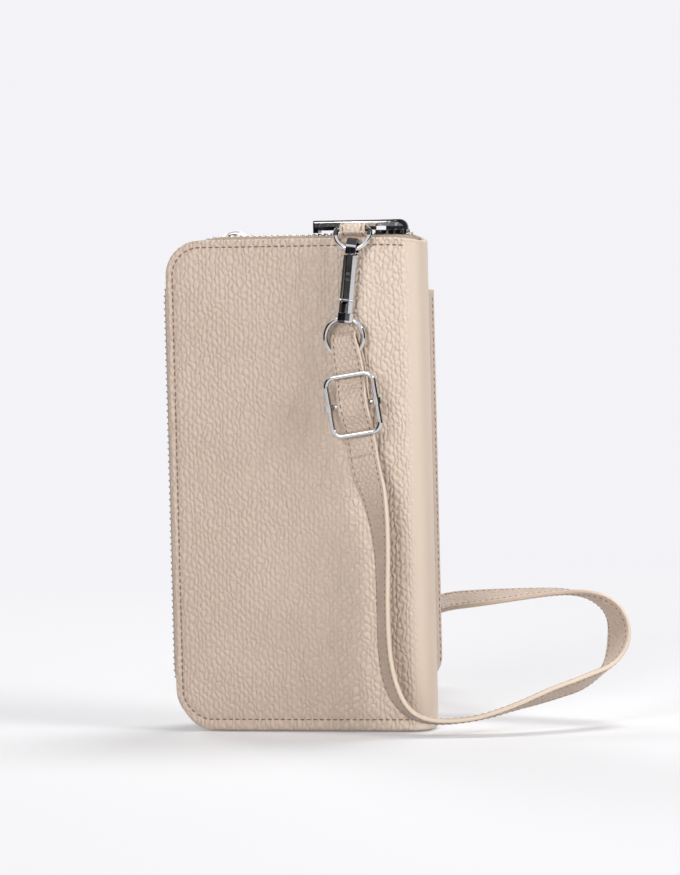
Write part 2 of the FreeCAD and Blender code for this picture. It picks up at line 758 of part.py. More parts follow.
def strap_sewn_end():
    """End of the strap, pared thin and sewn round the buckle's middle bar."""
    radius, angle = s_curve(buckle_run - back_ply_run, bar_out - wrap_radius + ply)
    moves = [(radius, angle), (radius, -angle), (wrap_radius, bar_wrap_turn)]
    face, _ = strip((back_ply_run, -ply), 0, moves, sewn_thickness / 2)
    return along_strap(face, strap_width)


def buckle_frame():
    wide = (buckle_width - buckle_wire) / 2
    c = buckle_corner - buckle_wire / 2
    lean_in = c * (1 - math.sqrt(0.5))
    mid = buckle_run
    low, high = mid + half_frame, mid - half_frame
    corners = [(high, wide, 1, -1), (low, wide, -1, -1), (low, -wide, -1, 1), (high, -wide, 1, 1)]
    p = []
    for i, (a, w, da, dw) in enumerate(corners):
        start = (a, w + dw * c)
        end = (a + da * c, w)
        if i % 2:
            start, end = end, start
        p.append((start, (a + da * lean_in, w + dw * lean_in), end))
    def at(a, w):
        return ring_centre + strap_down * a + strap_across * w + strap_out * frame_out
    edges = []
    for i, (start, bend, end) in enumerate(p):
        edges.append(Part.Arc(at(*start), at(*bend), at(*end)).toShape())
        edges.append(Part.LineSegment(at(*end), at(*p[(i + 1) % len(p)][0])).toShape())
    return ring(Part.Wire(edges), buckle_wire / 2)


def buckle_bar():
    """Middle bar behind the frame, with a sleeve at each end riding on the frame's long sides."""
    wide = (buckle_width - buckle_wire) / 2
    middle = ring_centre + strap_down * buckle_run + strap_out * frame_out
    back = middle - strap_out * (frame_out - bar_out)
    bar = rod(back - strap_across * wide, back + strap_across * wide, bar_diameter / 2)
    reach = strap_down * (collar_band_length / 2)
    bore = buckle_wire / 2 + collar_band_gap
    for way in (-1, 1):
        centre = middle + strap_across * (way * wide)
        bar = bar.fuse(rod(centre - reach, centre + reach, bore + collar_band_wall))
    for way in (-1, 1):
        centre = middle + strap_across * (way * wide)
        bar = bar.cut(rod(centre - reach * 2, centre + reach * 2, bore))
    return bar.removeSplitter()


def station_frames(stations):
    """Sections along the smooth line that the stations pull on: point, direction and near-edge direction."""
    points = [V(*s[:3]) for s in stations]
    edges = [V(*s[3:]).normalize() for s in stations]
    out = []
    for i in range(1, len(points) - 1):
        first = points[0] if i == 1 else (points[i - 1] + points[i]) * 0.5
        last = points[-1] if i == len(points) - 2 else (points[i] + points[i + 1]) * 0.5
        edge_first = edges[0] if i == 1 else (edges[i - 1] + edges[i]) * 0.5
        edge_last = edges[-1] if i == len(points) - 2 else (edges[i] + edges[i + 1]) * 0.5
        steps = station_steps + (1 if i == len(points) - 2 else 0)
        for k in range(steps):
            t = k / station_steps
            point = first * (1 - t) ** 2 + points[i] * (2 * t * (1 - t)) + last * t ** 2
            way = (points[i] - first) * (1 - t) + (last - points[i]) * t
            edge = edge_first * (1 - t) ** 2 + edges[i] * (2 * t * (1 - t)) + edge_last * t ** 2
            way.normalize()
            edge = edge - way * edge.dot(way)
            out.append((point, way, edge.normalize()))
    return out


def band(sections):
    """Flat band through a run of sections."""
    wires = []
    for point, way, edge in sections:
        w = edge * (strap_width / 2)
        t = way.cross(edge).normalize() * (strap_thickness / 2)
        corners = [point + w + t, point + w - t, point - w - t, point - w + t]
        wires.append(Part.makePolygon(corners + corners[:1]))
    return Part.makeLoft(wires, True, True)


coil_z = floor_z + coil_lift + strap_width / 2
coil_entry = vec(coil_x + coil_core + coil_turns * coil_pitch, coil_y, coil_z)


def coil():
    """Spare strap rolled on edge: in to the middle, round an S and out again, in one band."""
    turns = [coil_core + (n - 0.5) * coil_pitch for n in range(1, coil_turns + 1)]
    moves = [(r, 180.0) for r in turns[::-1]] + [(coil_core / 2, 180.0), (coil_core / 2, -180.0)]
    moves += [(r, -180.0) for r in turns]
    face, line = strip((coil_entry.x, coil_entry.y), 90, moves, strap_thickness / 2)
    flat = FreeCAD.Placement(vec(0, 0, floor_z + coil_lift), FreeCAD.Rotation())
    return moved(face.extrude(vec(0, 0, strap_width)), flat), line


def coil_tie():
    """Band round the strands at the back of the roll."""
    low = coil_core + coil_pitch / 2 - strap_thickness / 2 - tie_gap
    high = low + (coil_turns - 1) * coil_pitch + strap_thickness + 2 * tie_gap
    base = floor_z + coil_lift - tie_gap / 2
    top = floor_z + coil_lift + strap_width + tie_gap
    x = coil_x + coil_pitch / 2
    outer = box(x - tie_width / 2, x + tie_width / 2, coil_y + low - tie_thickness,
                coil_y + high + tie_thickness, base - tie_thickness, top + tie_thickness)
    return outer.cut(box(x - tie_width, x + tie_width, coil_y + low, coil_y + high, base, top))


cover_set(-1, "back")
cover_set(1, "front")
nodes["spine_wrap"] = spine()
for side, name, shift in ((-1, "back", 0.0), (1, "front", 0.5)):
    nodes[name + "_zip_tape"] = tape(side)
    nodes[name + "_zip_teeth"] = teeth(side, shift)
    nodes[name + "_zip_stops"] = stops(side)
nodes["zip_slider"] = slider()
nodes["zip_bridge"] = bridge()
nodes["zip_pull"] = pull()

inside_left = cover_left + lining_inset + pocket_side_gap
inside_right = flat_end - pocket_side_gap
face = lining_face
for i in range(card_pocket_count):
    top = card_pocket_top - i * card_pocket_step
    pocket = box(inside_left, inside_right, -face, -face + pocket_ply, pocket_base, top)
    nodes["card_pocket_%d" % (i + 1)] = pocket
    face -= pocket_ply
nodes["slip_pocket"] = box(inside_left, inside_right, lining_face, lining_face - pocket_ply,
                           pocket_base, slip_pocket_top)
nodes["divider"] = box(cover_left + divider_left_gap, spine_x - spine_wall - divider_right_gap,
                       -divider_thickness / 2, divider_thickness / 2, divider_base, divider_top)


def gusset(base, fold):
    """Cloth pleat between the two linings, folded in towards the middle."""
    seam = lining_face - gusset_seam_gap
    way = math.copysign(gusset_cloth, fold - base)
    left = cover_left + gusset_left_gap
    face = polygon([vec(left, -seam, base), vec(left, 0, fold), vec(left, seam, base),
                    vec(left, seam, base + way), vec(left, 0, fold + way), vec(left, -seam, base + way)])
    return face.extrude(vec(flat_end - gusset_right_gap - left, 0, 0))


nodes["top_gusset"] = gusset(cover_height - gusset_inset, cover_height - gusset_inset - gusset_depth)
nodes["bottom_gusset"] = gusset(gusset_inset, gusset_inset + gusset_depth)

phone_left = cover_left + phone_left_gap
phone_right = spine_x - phone_right_gap


def phone_pocket():
    """Sleeve for the phone on the far face, open at the top."""
    shell = box(phone_left, phone_right, half_depth, phone_outer, phone_base, phone_top)
    low = [e for e in shell.Edges if e.BoundBox.YLength > phone_room_depth and e.BoundBox.ZMax < phone_top]
    shell = shell.makeFillet(phone_corner, low)
    rim = [e for e in shell.Edges if e.BoundBox.YMin > phone_outer - pick
           and e.BoundBox.ZMin < phone_top - pick]
    shell = shell.makeFillet(phone_edge_round, rim)
    room = box(phone_left + phone_wall, phone_right - phone_wall, half_depth + phone_back_ply,
               phone_outer - phone_wall, phone_base + phone_wall, phone_top + overrun)
    low = [e for e in room.Edges if e.BoundBox.YLength > phone_room_depth / 2 and e.BoundBox.ZMax < phone_top]
    room = room.makeFillet(phone_corner - phone_wall, low)
    rim = [e for e in room.Edges if e.BoundBox.YMin > phone_outer - phone_wall - pick
           and e.BoundBox.ZMin < phone_top - pick]
    room = room.makeFillet(phone_edge_round - phone_wall, rim)
    return shell.cut(room)


nodes["phone_pocket"] = phone_pocket()
nodes["near_tab"] = near_tab()
nodes["far_chape"] = far_chape()
tilt = FreeCAD.Rotation(V(1, 0, 0), -d_ring_tilt)
nodes["d_ring_1"] = moved(d_ring(), FreeCAD.Placement(vec(tab_x, tab_bar_y, tab_bar_z), tilt))
flip = FreeCAD.Rotation(V(1, 0, 0), 180)
nodes["d_ring_2"] = moved(d_ring(), FreeCAD.Placement(vec(chape_x, chape_bar_y, chape_bar_z), flip))

hook_1_place = frame(ring_centre + hook_axis * ring_line, hook_across, hook_axis)
gate_1 = hook_set(hook_1_place, "hook_1")
nodes["strap_ring_1"] = strap_ring(ring_centre, vec(0, 1, 0))
nodes["strap_top"] = strap_top()
nodes["strap_sewn_end"] = strap_sewn_end()
nodes["buckle_frame"] = buckle_frame()
nodes["buckle_bar"] = buckle_bar()

top_end = ring_centre + strap_down * strap_top_end + strap_out * ply
lead = top_end + strap_down * strap_lead
near = (strap_across.x, strap_across.y, strap_across.z)
stations = [(top_end.x, top_end.y, top_end.z) + near, (lead.x, lead.y, lead.z) + near]
for x, y, z, *face_out in strap_stations:
    stations.append((x * route_unit, y * route_unit, z * route_unit, *face_out))
stations.append((coil_entry.x, coil_entry.y, coil_entry.z, 0, 0, -1))
sections = station_frames(stations)
split = front_run_count * station_steps
rise = loop_run_count * station_steps
nodes["strap_front_run"] = band(sections[:split + 1])
nodes["strap_side_loop"] = band(sections[split:rise + 1])
nodes["strap_back_run"] = band(sections[rise:])
nodes["strap_coil"], coil_line = coil()
coil_end = coil_line[-1]
nodes["coil_tie"] = coil_tie()

tail_start = vec(coil_end.x, coil_end.y, coil_z)
tail_way = vec(0, 1, 0)
tail_end = tail_start + tail_way * tail_run + vec(0, 0, tail_rise)
tail_third = tail_way * (tail_run / 3)
tail_line = [tail_start, tail_start + tail_third, tail_end - tail_third, tail_end]
nodes["strap_tail"] = band(station_frames([(p.x, p.y, p.z, 0, 0, -1) for p in tail_line]))


def strap_far_end():
    """Far end of the strap folded through its ring and sewn back on itself."""
    radius, angle = s_curve(end_ply_join, 2 * ply - strap_thickness - ply_gap)
    moves = [(end_loop_run,), (ply, 180.0), (end_ply_run,), (radius, angle), (radius, -angle),
             (end_ply_sewn,)]
    face, _ = strip((0, 0), 90, moves, strap_thickness / 2)
    corner = FreeCAD.Placement(tail_end - vec(0, 0, strap_width / 2), FreeCAD.Rotation())
    return moved(face.extrude(vec(0, 0, strap_width)), corner)


nodes["strap_far_end"] = strap_far_end()
ring_2_centre = tail_end + vec(-ply, end_loop_run + fold_run, 0)
nodes["strap_ring_2"] = strap_ring(ring_2_centre, vec(1, 0, 0))
droop = math.radians(end_hook_droop)
hook_2_axis = vec(0, math.cos(droop), -math.sin(droop))
hook_2_across = vec(0, math.sin(droop), math.cos(droop))
hook_2_place = frame(ring_2_centre + hook_2_axis * ring_line, hook_2_across, hook_2_axis)
gate_2 = hook_set(hook_2_place, "hook_2")

os.makedirs("parts", exist_ok=True)
shift = FreeCAD.Placement(vec(0, zip_y, -floor_z), FreeCAD.Rotation())
for name, shape in nodes.items():
    moved(shape, shift).exportStep("parts/%s.step" % name)

strap_length = sum((b[0] - a[0]).Length for a, b in zip(sections, sections[1:]))
print("zip plane at y %.3f, spine at x %.3f" % (zip_y, spine_x))
coil_length = sum((b - a).Length for a, b in zip(coil_line, coil_line[1:]))
print("strap run %.1f mm, coil %.1f mm" % (strap_length, coil_length))
for name in ("strap_front_run", "strap_side_loop", "strap_back_run"):
    print(name, "volume %.0f" % nodes[name].Volume)
print("section times run %.0f" % (strap_length * strap_width * strap_thickness))
apart = [(a - b).Length for i, a in enumerate(coil_line) for b in coil_line[i + line_steps:]]
print("least gap between coil strands %.2f" % (min(apart) - strap_thickness))
bends = []
for a, b in zip(sections, sections[1:]):
    turn = a[1].getAngle(b[1])
    if turn > 0:
        bends.append((b[0] - a[0]).Length / turn)
print("tightest bend of the strap run %.1f" % min(bends))
marks = {"pull pin": vec(pin_x, 0, pin_z), "slider": vec(slider_x, 0, chain_top),
         "tab bar": vec(tab_x, tab_bar_y, tab_bar_z), "chape bar": vec(chape_x, chape_bar_y, chape_bar_z),
         "hook 1": hook_1_place.Base, "gate 1": gate_1, "hook 2": hook_2_place.Base, "gate 2": gate_2,
         "ring 1": ring_centre, "ring 2": ring_2_centre, "strap top end": top_end, "coil entry": coil_entry,
         "tail end": tail_end}
for label, point in marks.items():
    print("%-14s %9.3f %9.3f %9.3f" % (label, point.x, point.y + zip_y, point.z - floor_z))
for name, shape in nodes.items():
    print("%-18s solids %3d valid %s volume %9.1f" % (name, len(shape.Solids), shape.isValid(), shape.Volume))
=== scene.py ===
import math

import bpy
import numpy as np
from mathutils import Matrix, Vector


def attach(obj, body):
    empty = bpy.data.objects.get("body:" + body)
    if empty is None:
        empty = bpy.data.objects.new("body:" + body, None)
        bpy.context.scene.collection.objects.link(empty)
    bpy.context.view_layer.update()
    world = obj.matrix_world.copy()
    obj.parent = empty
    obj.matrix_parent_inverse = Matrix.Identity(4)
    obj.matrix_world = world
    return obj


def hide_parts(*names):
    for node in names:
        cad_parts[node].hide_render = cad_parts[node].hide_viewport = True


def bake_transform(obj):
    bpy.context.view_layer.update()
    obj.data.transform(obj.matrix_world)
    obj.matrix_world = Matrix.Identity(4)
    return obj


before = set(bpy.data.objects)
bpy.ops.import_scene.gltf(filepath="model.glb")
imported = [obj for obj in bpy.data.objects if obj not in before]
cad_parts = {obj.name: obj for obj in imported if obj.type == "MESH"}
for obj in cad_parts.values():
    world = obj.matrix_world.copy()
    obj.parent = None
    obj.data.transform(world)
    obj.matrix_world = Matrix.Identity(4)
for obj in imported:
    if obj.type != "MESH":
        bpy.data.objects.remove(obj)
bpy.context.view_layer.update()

# Outer leather. One sheet of pebbled hide makes the near cover, the rolled spine and the far cover;
# it is turned in over stiffening boards all round and sewn near its edge. Millimetres from the zip's plane
# and from the covers' lower edge, which the zip's chain holds off the floor.
zip_plane = -2.865
floor_rise = 2.8
cover_left = -48.95
cover_flat = 93.0
cover_height = 190.0
face_depth = 11.5
spine_radius = 9.0
spine_flat = 5.0
cover_corner = 14.0
edge_roll = 1.15
stitch_inset = 2.9
spine_arc = spine_radius * math.pi / 2
girth = 2 * (cover_flat + spine_arc) + spine_flat


def sheet_place(s, z, out):
    """Point of the wrapped sheet: s runs round from the near cover's free edge to the far cover's, z up,
    out along the outward normal. Straight, quarter turn, short flat, quarter turn, straight. The top edge
    sags on a bell curve over the spine."""
    a = np.clip((s - cover_flat) / spine_radius, 0, math.pi / 2)
    b = np.clip((s - cover_flat - spine_arc - spine_flat) / spine_radius, 0, math.pi / 2)
    flat = np.clip(s - cover_flat - spine_arc, 0, spine_flat)
    far = np.clip(s - cover_flat - 2 * spine_arc - spine_flat, 0, None)
    x = cover_left + np.minimum(s, cover_flat) + spine_radius * (np.sin(a) + np.cos(b) - 1) - far
    y = -face_depth + spine_radius * (1 - np.cos(a) + np.sin(b)) + flat
    sag = 1.8 * np.exp(-((s - girth / 2) / 12) ** 2) * np.clip((z - 140) / 50, 0, 1) ** 2
    sag = sag + 2.2 * np.clip((5 - z) / 5, 0, 1) ** 1.3
    return np.stack([x + out * np.sin(a + b), y - out * np.cos(a + b), z - sag], -1)


def edge_distance(s, z, wide, high, corner):
    """Distance inside a rounded rectangle's outline, from the usual corner-circle formula."""
    qs = np.abs(s - wide / 2) - (wide / 2 - corner)
    qz = np.abs(z - high / 2) - (high / 2 - corner)
    outside = np.hypot(np.maximum(qs, 0), np.maximum(qz, 0))
    return corner - outside - np.minimum(np.maximum(qs, qz), 0)


def steps(*spans):
    """Positions from spans of (start, end, spacing), each divided evenly."""
    parts = [np.linspace(a, b, max(2, int(round(abs(b - a) / gap)) + 1)) for a, b, gap in spans]
    return np.concatenate([p[:-1] for p in parts] + [parts[-1][-1:]])


def quads(rows, cols, first=0):
    """Corner numbers of a grid's four-sided faces."""
    i = first + np.arange((rows - 1) * cols).reshape(rows - 1, cols)[:, :-1].ravel()
    return np.stack([i, i + 1, i + cols + 1, i + cols], 1)


def piece(name, points, faces, uv=None, flip=False):
    """Smooth mesh object from points in millimetres in the pouch's own axes, and its faces."""
    points = np.asarray(points, float).reshape(-1, 3)
    mesh = bpy.data.meshes.new(name)
    place = (points + (0, zip_plane, floor_rise)) / 1000
    lists = [f.tolist()[::-1] if flip else f.tolist() for f in faces]
    mesh.from_pydata(place.tolist(), [], lists)
    if uv is not None:
        layer = mesh.uv_layers.new(name="sheet")
        corner = np.zeros(len(mesh.loops), int)
        mesh.loops.foreach_get("vertex_index", corner)
        layer.data.foreach_set("uv", np.asarray(uv, float).reshape(-1, 2)[corner].ravel())
    mesh.shade_smooth()
    mesh.update()
    made = bpy.data.objects.new(name, mesh)
    bpy.context.scene.collection.objects.link(made)
    return made


def turned_sheet(name, wide, high, corner, roll, place, rise, s_steps, z_steps, flip=False):
    """Sheet with rounded corners and a half-round turned edge: outer grid, edge strips, inner grid.
    Each row of the grid runs between the corner arcs; the edge turns on a circle of the roll's radius."""
    tight = corner - roll
    z = z_steps[:, None]
    dz = np.minimum(z - roll, high - roll - z)
    inset = np.where(dz < tight, tight - np.sqrt(np.clip(tight ** 2 - (tight - dz) ** 2, 0, None)), 0)
    share = ((s_steps - s_steps[0]) / (s_steps[-1] - s_steps[0]))[None, :]
    s = roll + inset + share * (wide - 2 * roll - 2 * inset)
    z = z + 0 * s
    rows, cols = s.shape
    outer = place(s, z, rise(s, z))
    inner = place(s, z, -2 * roll + 0 * s)
    number = np.arange(rows * cols).reshape(rows, cols)
    loop = np.concatenate([number[0], number[1:, -1], number[-1, -2::-1], number[-2:0:-1, 0]])
    sb, zb = s.ravel()[loop], z.ravel()[loop]
    ns = np.where(sb < corner, sb - corner, np.where(sb > wide - corner, sb - wide + corner, 0))
    nz = np.where(zb < corner, zb - corner, np.where(zb > high - corner, zb - high + corner, 0))
    size = np.maximum(np.hypot(ns, nz), 1e-6)
    turn = np.linspace(0, math.pi, 8)[1:-1, None]
    rs = sb + roll * np.sin(turn) * ns / size
    rz = zb + roll * np.sin(turn) * nz / size
    rim = place(rs, rz, roll * (np.cos(turn) - 1) + 0 * rs)
    total = rows * cols
    n = len(loop)
    rings = [total + k * n + np.arange(n) for k in range(len(turn))]
    rings = [loop] + rings + [total + len(turn) * n + loop]
    faces = [quads(rows, cols)]
    for low, top in zip(rings, rings[1:]):
        faces.append(np.stack([low, top, np.roll(top, -1), np.roll(low, -1)], 1))
    faces.append(quads(rows, cols, total + len(turn) * n)[:, ::-1])
    uv = np.concatenate([np.stack([s, z], -1).reshape(-1, 2), np.stack([rs, rz], -1).reshape(-1, 2),
                         np.stack([s, z], -1).reshape(-1, 2)]) / 100
    points = np.concatenate([outer.reshape(-1, 3), rim.reshape(-1, 3), inner.reshape(-1, 3)])
    return piece(name, points, np.concatenate(faces), uv, flip)


def wrap_rise(s, z):
    """Height of the leather above its flat: padded crown on the near cover, groove under the stitches."""
    d = edge_distance(s, z, girth, cover_height, cover_corner)
    near = np.clip((cover_flat + 2 - s) / 26, 0, 1) * np.clip(s / 26, 0, 1)
    tall = np.clip(z / 30, 0, 1) * np.clip((cover_height - z) / 30, 0, 1)
    crown = 0.55 * np.sin(math.pi / 2 * near) * np.sin(math.pi / 2 * tall)
    crown = crown - 0.9 * np.clip((s - 64) / 30, 0, 1) ** 2 * np.clip((girth / 2 - s) / 12, 0, 1)
    sewn = np.clip((cover_flat + 3 - np.minimum(s, girth - s)) / 6, 0, 1)
    groove = -0.28 * np.exp(-((d - stitch_inset) / 0.62) ** 2) * sewn
    pad = 0.20 * np.clip((d - stitch_inset) / 3.2, 0, 1) * np.clip((60 - d) / 30, 0, 1) * sewn
    return crown + groove + pad * (s < girth / 2)


wrap = turned_sheet(
    "leather_wrap", girth, cover_height, cover_corner, edge_roll, sheet_place, wrap_rise,
    steps((edge_roll, 7, 0.45), (7, cover_flat - 2, 2.0), (cover_flat - 2, girth - cover_flat + 2, 1.0),
          (girth - cover_flat + 2, girth - 7, 2.0), (girth - 7, girth - edge_roll, 0.45)),
    steps((edge_roll, 16, 0.5), (16, cover_height - 16, 2.0),
          (cover_height - 16, cover_height - edge_roll, 0.5)))
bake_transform(wrap)
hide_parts("back_cover", "front_cover", "spine_wrap")


class Value:
    """A shader socket. Arithmetic on it adds Math nodes; make() adds any other node."""

    def __init__(self, tree, socket=None):
        self.tree = tree
        self.socket = socket

    def make(self, kind, settings=None, out=0, **sockets):
        """Node of a kind: its settings first, then its sockets by name, or by number as i0, i1 and on."""
        node = self.tree.nodes.new("ShaderNode" + kind)
        for key, value in (settings or {}).items():
            setattr(node, key, value)
        for key, value in sockets.items():
            numbered = key[0] == "i" and key[1:].isdigit()
            socket = node.inputs[int(key[1:]) if numbered else key.replace("_", " ")]
            if isinstance(value, Value):
                self.tree.links.new(value.socket, socket)
            else:
                socket.default_value = value
        return Value(self.tree, node.outputs[out] if node.outputs else None)

    def math(self, operation, first, second=None):
        """Math node on one or two values."""
        more = {} if second is None else {"i1": second}
        return self.make("Math", {"operation": operation}, i0=first, **more)

    def __add__(self, other):
        return self.math("ADD", self, other)

    def __radd__(self, other):
        return self.math("ADD", other, self)

    def __sub__(self, other):
        return self.math("SUBTRACT", self, other)

    def __rsub__(self, other):
        return self.math("SUBTRACT", other, self)

    def __mul__(self, other):
        return self.math("MULTIPLY", self, other)

    def __rmul__(self, other):
        return self.math("MULTIPLY", other, self)

    def __truediv__(self, other):
        return self.math("DIVIDE", self, other)

    def __pow__(self, other):
        return self.math("POWER", self, other)

    def between(self, low, high):
        """0 below low, 1 above high, smooth between."""
        smooth = {"interpolation_type": "SMOOTHSTEP"}
        return self.make("MapRange", smooth, Value=self, From_Min=low, From_Max=high)

    def mix(self, colour_a, colour_b):
        """Colour a where this is 0, colour b where it is 1."""
        full = [c if isinstance(c, Value) else (*c, 1) for c in (colour_a, colour_b)]
        return self.make("Mix", {"data_type": "RGBA"}, 2, i0=self, i6=full[0], i7=full[1])

    def scaled(self, x, y, z):
        """This place scaled along its axes."""
        return self.make("VectorMath", {"operation": "MULTIPLY"}, i0=self, i1=(x, y, z))

    def moved_by(self, other):
        """This place moved by another vector."""
        return self.make("VectorMath", {"operation": "ADD"}, i0=self, i1=other)

    def part(self, axis):
        """One coordinate of this place."""
        return self.make("SeparateXYZ", None, axis, Vector=self)

    def noise(self, scale, detail, ways="3D"):
        """Soft noise at this place, from 0 to 1."""
        return self.make("TexNoise", {"noise_dimensions": ways}, "Fac",
                         Vector=self, Scale=scale, Detail=detail)

    def bump(self, strength, distance):
        """Normal of a surface that this height raises."""
        return self.make("Bump", None, "Normal", Strength=strength, Distance=distance, Height=self)


def finish(name):
    """Empty procedural material and the value that its nodes start from."""
    made = bpy.data.materials.new(name)
    made.use_nodes = True
    made.node_tree.nodes.clear()
    return made, Value(made.node_tree)


def shade(start, **sockets):
    """Principled surface as the material's output."""
    surface = start.make("BsdfPrincipled", None, "BSDF", **sockets)
    start.make("OutputMaterial", None, 0, Surface=surface)


def pebbles(start, where, cell):
    """Embossed grain: three waves at 120 degrees add up to round pebbles in a honeycomb, after a drift
    that makes them uneven. The height is the root of their sum, with a fine tooth. Also gives a mask of
    the valleys."""
    plane = {"noise_dimensions": "2D"}
    drift = start.make("TexNoise", plane, "Color", Vector=where, Scale=0.38 / cell, Detail=2.0)
    wobble = start.make("TexNoise", plane, "Color", Vector=where, Scale=0.9 / cell, Detail=1.0)
    bent = where.moved_by(drift.scaled(cell * 1.3, cell * 1.1, 0))
    bent = bent.moved_by(wobble.scaled(cell * 0.7, cell * 0.6, 0))
    pitch = 2 * math.pi / (cell * math.cos(math.pi / 6))
    sideways = bent.part("X")
    upright = bent.part("Y")
    waves = [sideways * (pitch * math.cos(turn)) + upright * (pitch * math.sin(turn))
             for turn in (0.0, 2 * math.pi / 3, 4 * math.pi / 3)]
    heap = sum((start.math("COSINE", wave) for wave in waves[1:]), start.math("COSINE", waves[0]))
    swell = start.math("MAXIMUM", (heap + 1.5) / 4.5, 0.0) ** 0.5
    tooth = where.noise(5.0 / cell, 2.0, "2D")
    return swell + tooth * 0.08, 1 - swell.between(0.15, 0.5)


hide = (0.575, 0.455, 0.368)
hide_pale = (0.605, 0.482, 0.394)
# Painted shade: the darker colour laid in the grain's valleys.
hide_crease_shade = (0.505, 0.390, 0.308)
# Painted light: the lighter colour laid on the near cover's right part.
hide_painted_light = (0.690, 0.565, 0.465)
spine_cream = (0.635, 0.523, 0.424)
grain_cell, grain_squash, grain_depth = 0.0205, 0.62, 0.00046
wrap_leather, start = finish("pebbled_hide")
uv = start.make("UVMap", {"uv_map": "sheet"})
across = uv.part("X")
upward = uv.part("Y")
height, crease = pebbles(start, uv.scaled(1.0, grain_squash, 1), grain_cell)
# Painted light: the near cover's right part, most of all higher up, is painted lighter, standing in for the
# light that falls there; that part is also made glossier.
right_part = across.between(0.50, 0.82)
painted_light = right_part * (upward.between(0.3, 1.1) * 0.65 + 0.35)
wander = uv.noise(22.0, 2.0, "2D")
middle = across - girth / 200
grain = start.math("SQRT", middle * middle + wander * 0.006).between(0.118, 0.158)
cloud = uv.noise(3.2, 3.0, "2D")
cover_colour = cloud.between(0.3, 0.7).mix(hide, hide_pale)
# The painted light goes on here.
cover_colour = painted_light.mix(cover_colour, hide_painted_light)
# Painted shade: the grain's valleys are painted darker.
cover_colour = (crease * 0.35).mix(cover_colour, hide_crease_shade)
silk = uv.noise(240.0, 2.0, "2D")
shade(start, Base_Color=grain.mix(spine_cream, cover_colour),
      Roughness=0.54 - 0.08 * (1 - grain) - right_part * grain * 0.16 + crease * 0.1 * grain,
      Normal=(height * grain + silk * 0.02).bump(1.0, grain_depth),
      Specular_IOR_Level=0.6, Sheen_Weight=0.06, Sheen_Roughness=0.5)
wrap.data.materials.append(wrap_leather)


# Cover stitching. A dark brown lockstitch runs round both covers just inside the turned edge; each stitch
# is a short length of twisted thread that sinks into the leather at both ends.
def thread_run(name, centre, along, up, length, thick):
    """Row of stitches: a six-sided thread with tapered ends, bowed so that its ends dip below the face."""
    along = along / np.linalg.norm(along, axis=-1, keepdims=True)
    up = up - along * np.sum(up * along, -1, keepdims=True)
    up = up / np.linalg.norm(up, axis=-1, keepdims=True)
    side = np.cross(along, up)
    t = np.array([-1.0, -0.78, 0.0, 0.78, 1.0])[:, None]
    girdle = np.array([0.25, 0.85, 1.0, 0.85, 0.25])[:, None] * thick
    a = np.linspace(0, 2 * math.pi, 6, endpoint=False)[None, :]
    local = np.stack([t * length / 2 + 0 * a, girdle * np.cos(a),
                      girdle * np.sin(a) - t ** 2 * thick * 1.1], -1).reshape(1, -1, 3)
    points = (centre[:, None] + along[:, None] * local[..., :1] + side[:, None] * local[..., 1:2]
              + up[:, None] * local[..., 2:])
    k = np.arange(4)[:, None] * 6 + np.arange(6)[None, :]
    n = np.arange(4)[:, None] * 6 + (np.arange(6)[None, :] + 1) % 6
    one = np.stack([k, k + 6, n + 6, n], -1).reshape(-1, 4)
    every = (one[None] + 30 * np.arange(len(centre))[:, None, None]).reshape(-1, 4)
    return piece(name, points, every)


stitch_pitch = 2.62
thread_dark, start = finish("brown_thread")
spot = start.make("TexCoord", None, "Object")
twist = start.make("TexWave", {"bands_direction": "DIAGONAL"}, "Fac",
                   Vector=spot, Scale=900.0, Distortion=0.4)
shade(start, Base_Color=twist.mix((0.185, 0.112, 0.075), (0.265, 0.172, 0.122)), Roughness=0.7,
      Normal=twist.bump(0.6, 0.0001))


def cover_seam(first_s, sign):
    """Places of the stitches: along the top from the spine, round the corner, down, round, and back."""
    tight = cover_corner - stitch_inset
    run_top = cover_flat + 3.0 - cover_corner
    arc = tight * math.pi / 2
    side = cover_height - 2 * cover_corner
    run = np.arange(stitch_pitch / 2, 2 * (run_top + arc) + side, stitch_pitch)
    bend_1 = np.clip((run - run_top) / tight, 0, math.pi / 2)
    bend_2 = np.clip((run - run_top - arc - side) / tight, 0, math.pi / 2)
    down = np.clip(run - run_top - arc, 0, side)
    back = np.clip(run - run_top - 2 * arc - side, 0, None)
    s = cover_flat + 3.0 - np.minimum(run, run_top) - tight * (np.sin(bend_1) + np.cos(bend_2) - 1) + back
    z = cover_height - stitch_inset - tight * (1 - np.cos(bend_1) + np.sin(bend_2)) - down
    turn = bend_1 + bend_2
    way_s, way_z = -np.cos(turn), -np.sin(turn)
    s_all = first_s + sign * s
    lift = wrap_rise(s_all, z) + 0.14
    centre = sheet_place(s_all, z, lift)
    ahead = sheet_place(s_all + sign * way_s * 0.5, z + way_z * 0.5, lift)
    up = sheet_place(s_all, z, lift + 1) - centre
    return centre, ahead - centre, up


def fitted(made, material, slot, body=None, nodes=()):
    """Gives a piece its finish, the body that carries it and the nodes that it stands for; slot is not used.
    """
    made.data.materials.append(material)
    if body:
        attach(made, body)
    if nodes:
        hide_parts(*nodes)


for name, first_s, sign, body in (("near_cover_stitches", 0.0, 1, "back_half"),
                                  ("far_cover_stitches", girth, -1, "front_half")):
    fitted(thread_run(name, *cover_seam(first_s, sign), 2.0, 0.27), thread_dark, "body_leather", body)


# Stiffening boards. One in each half, hidden between the leather and the lining, glued to both. Plain
# grey-brown board with a fibre fleck.
def coated(material, *names):
    """Gives named solid parts one finish."""
    for name in names:
        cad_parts[name].material_slots[0].material = material


board_face, start = finish("stiffening_board")
spot = start.make("TexCoord", None, "Object")
fleck = spot.scaled(1, 1, 0.3).noise(900.0, 3.0)
shade(start, Base_Color=fleck.mix((0.43, 0.36, 0.28), (0.57, 0.49, 0.40)), Roughness=0.9,
      Normal=fleck.bump(0.3, 0.0001))
coated(board_face, "back_board", "front_board")


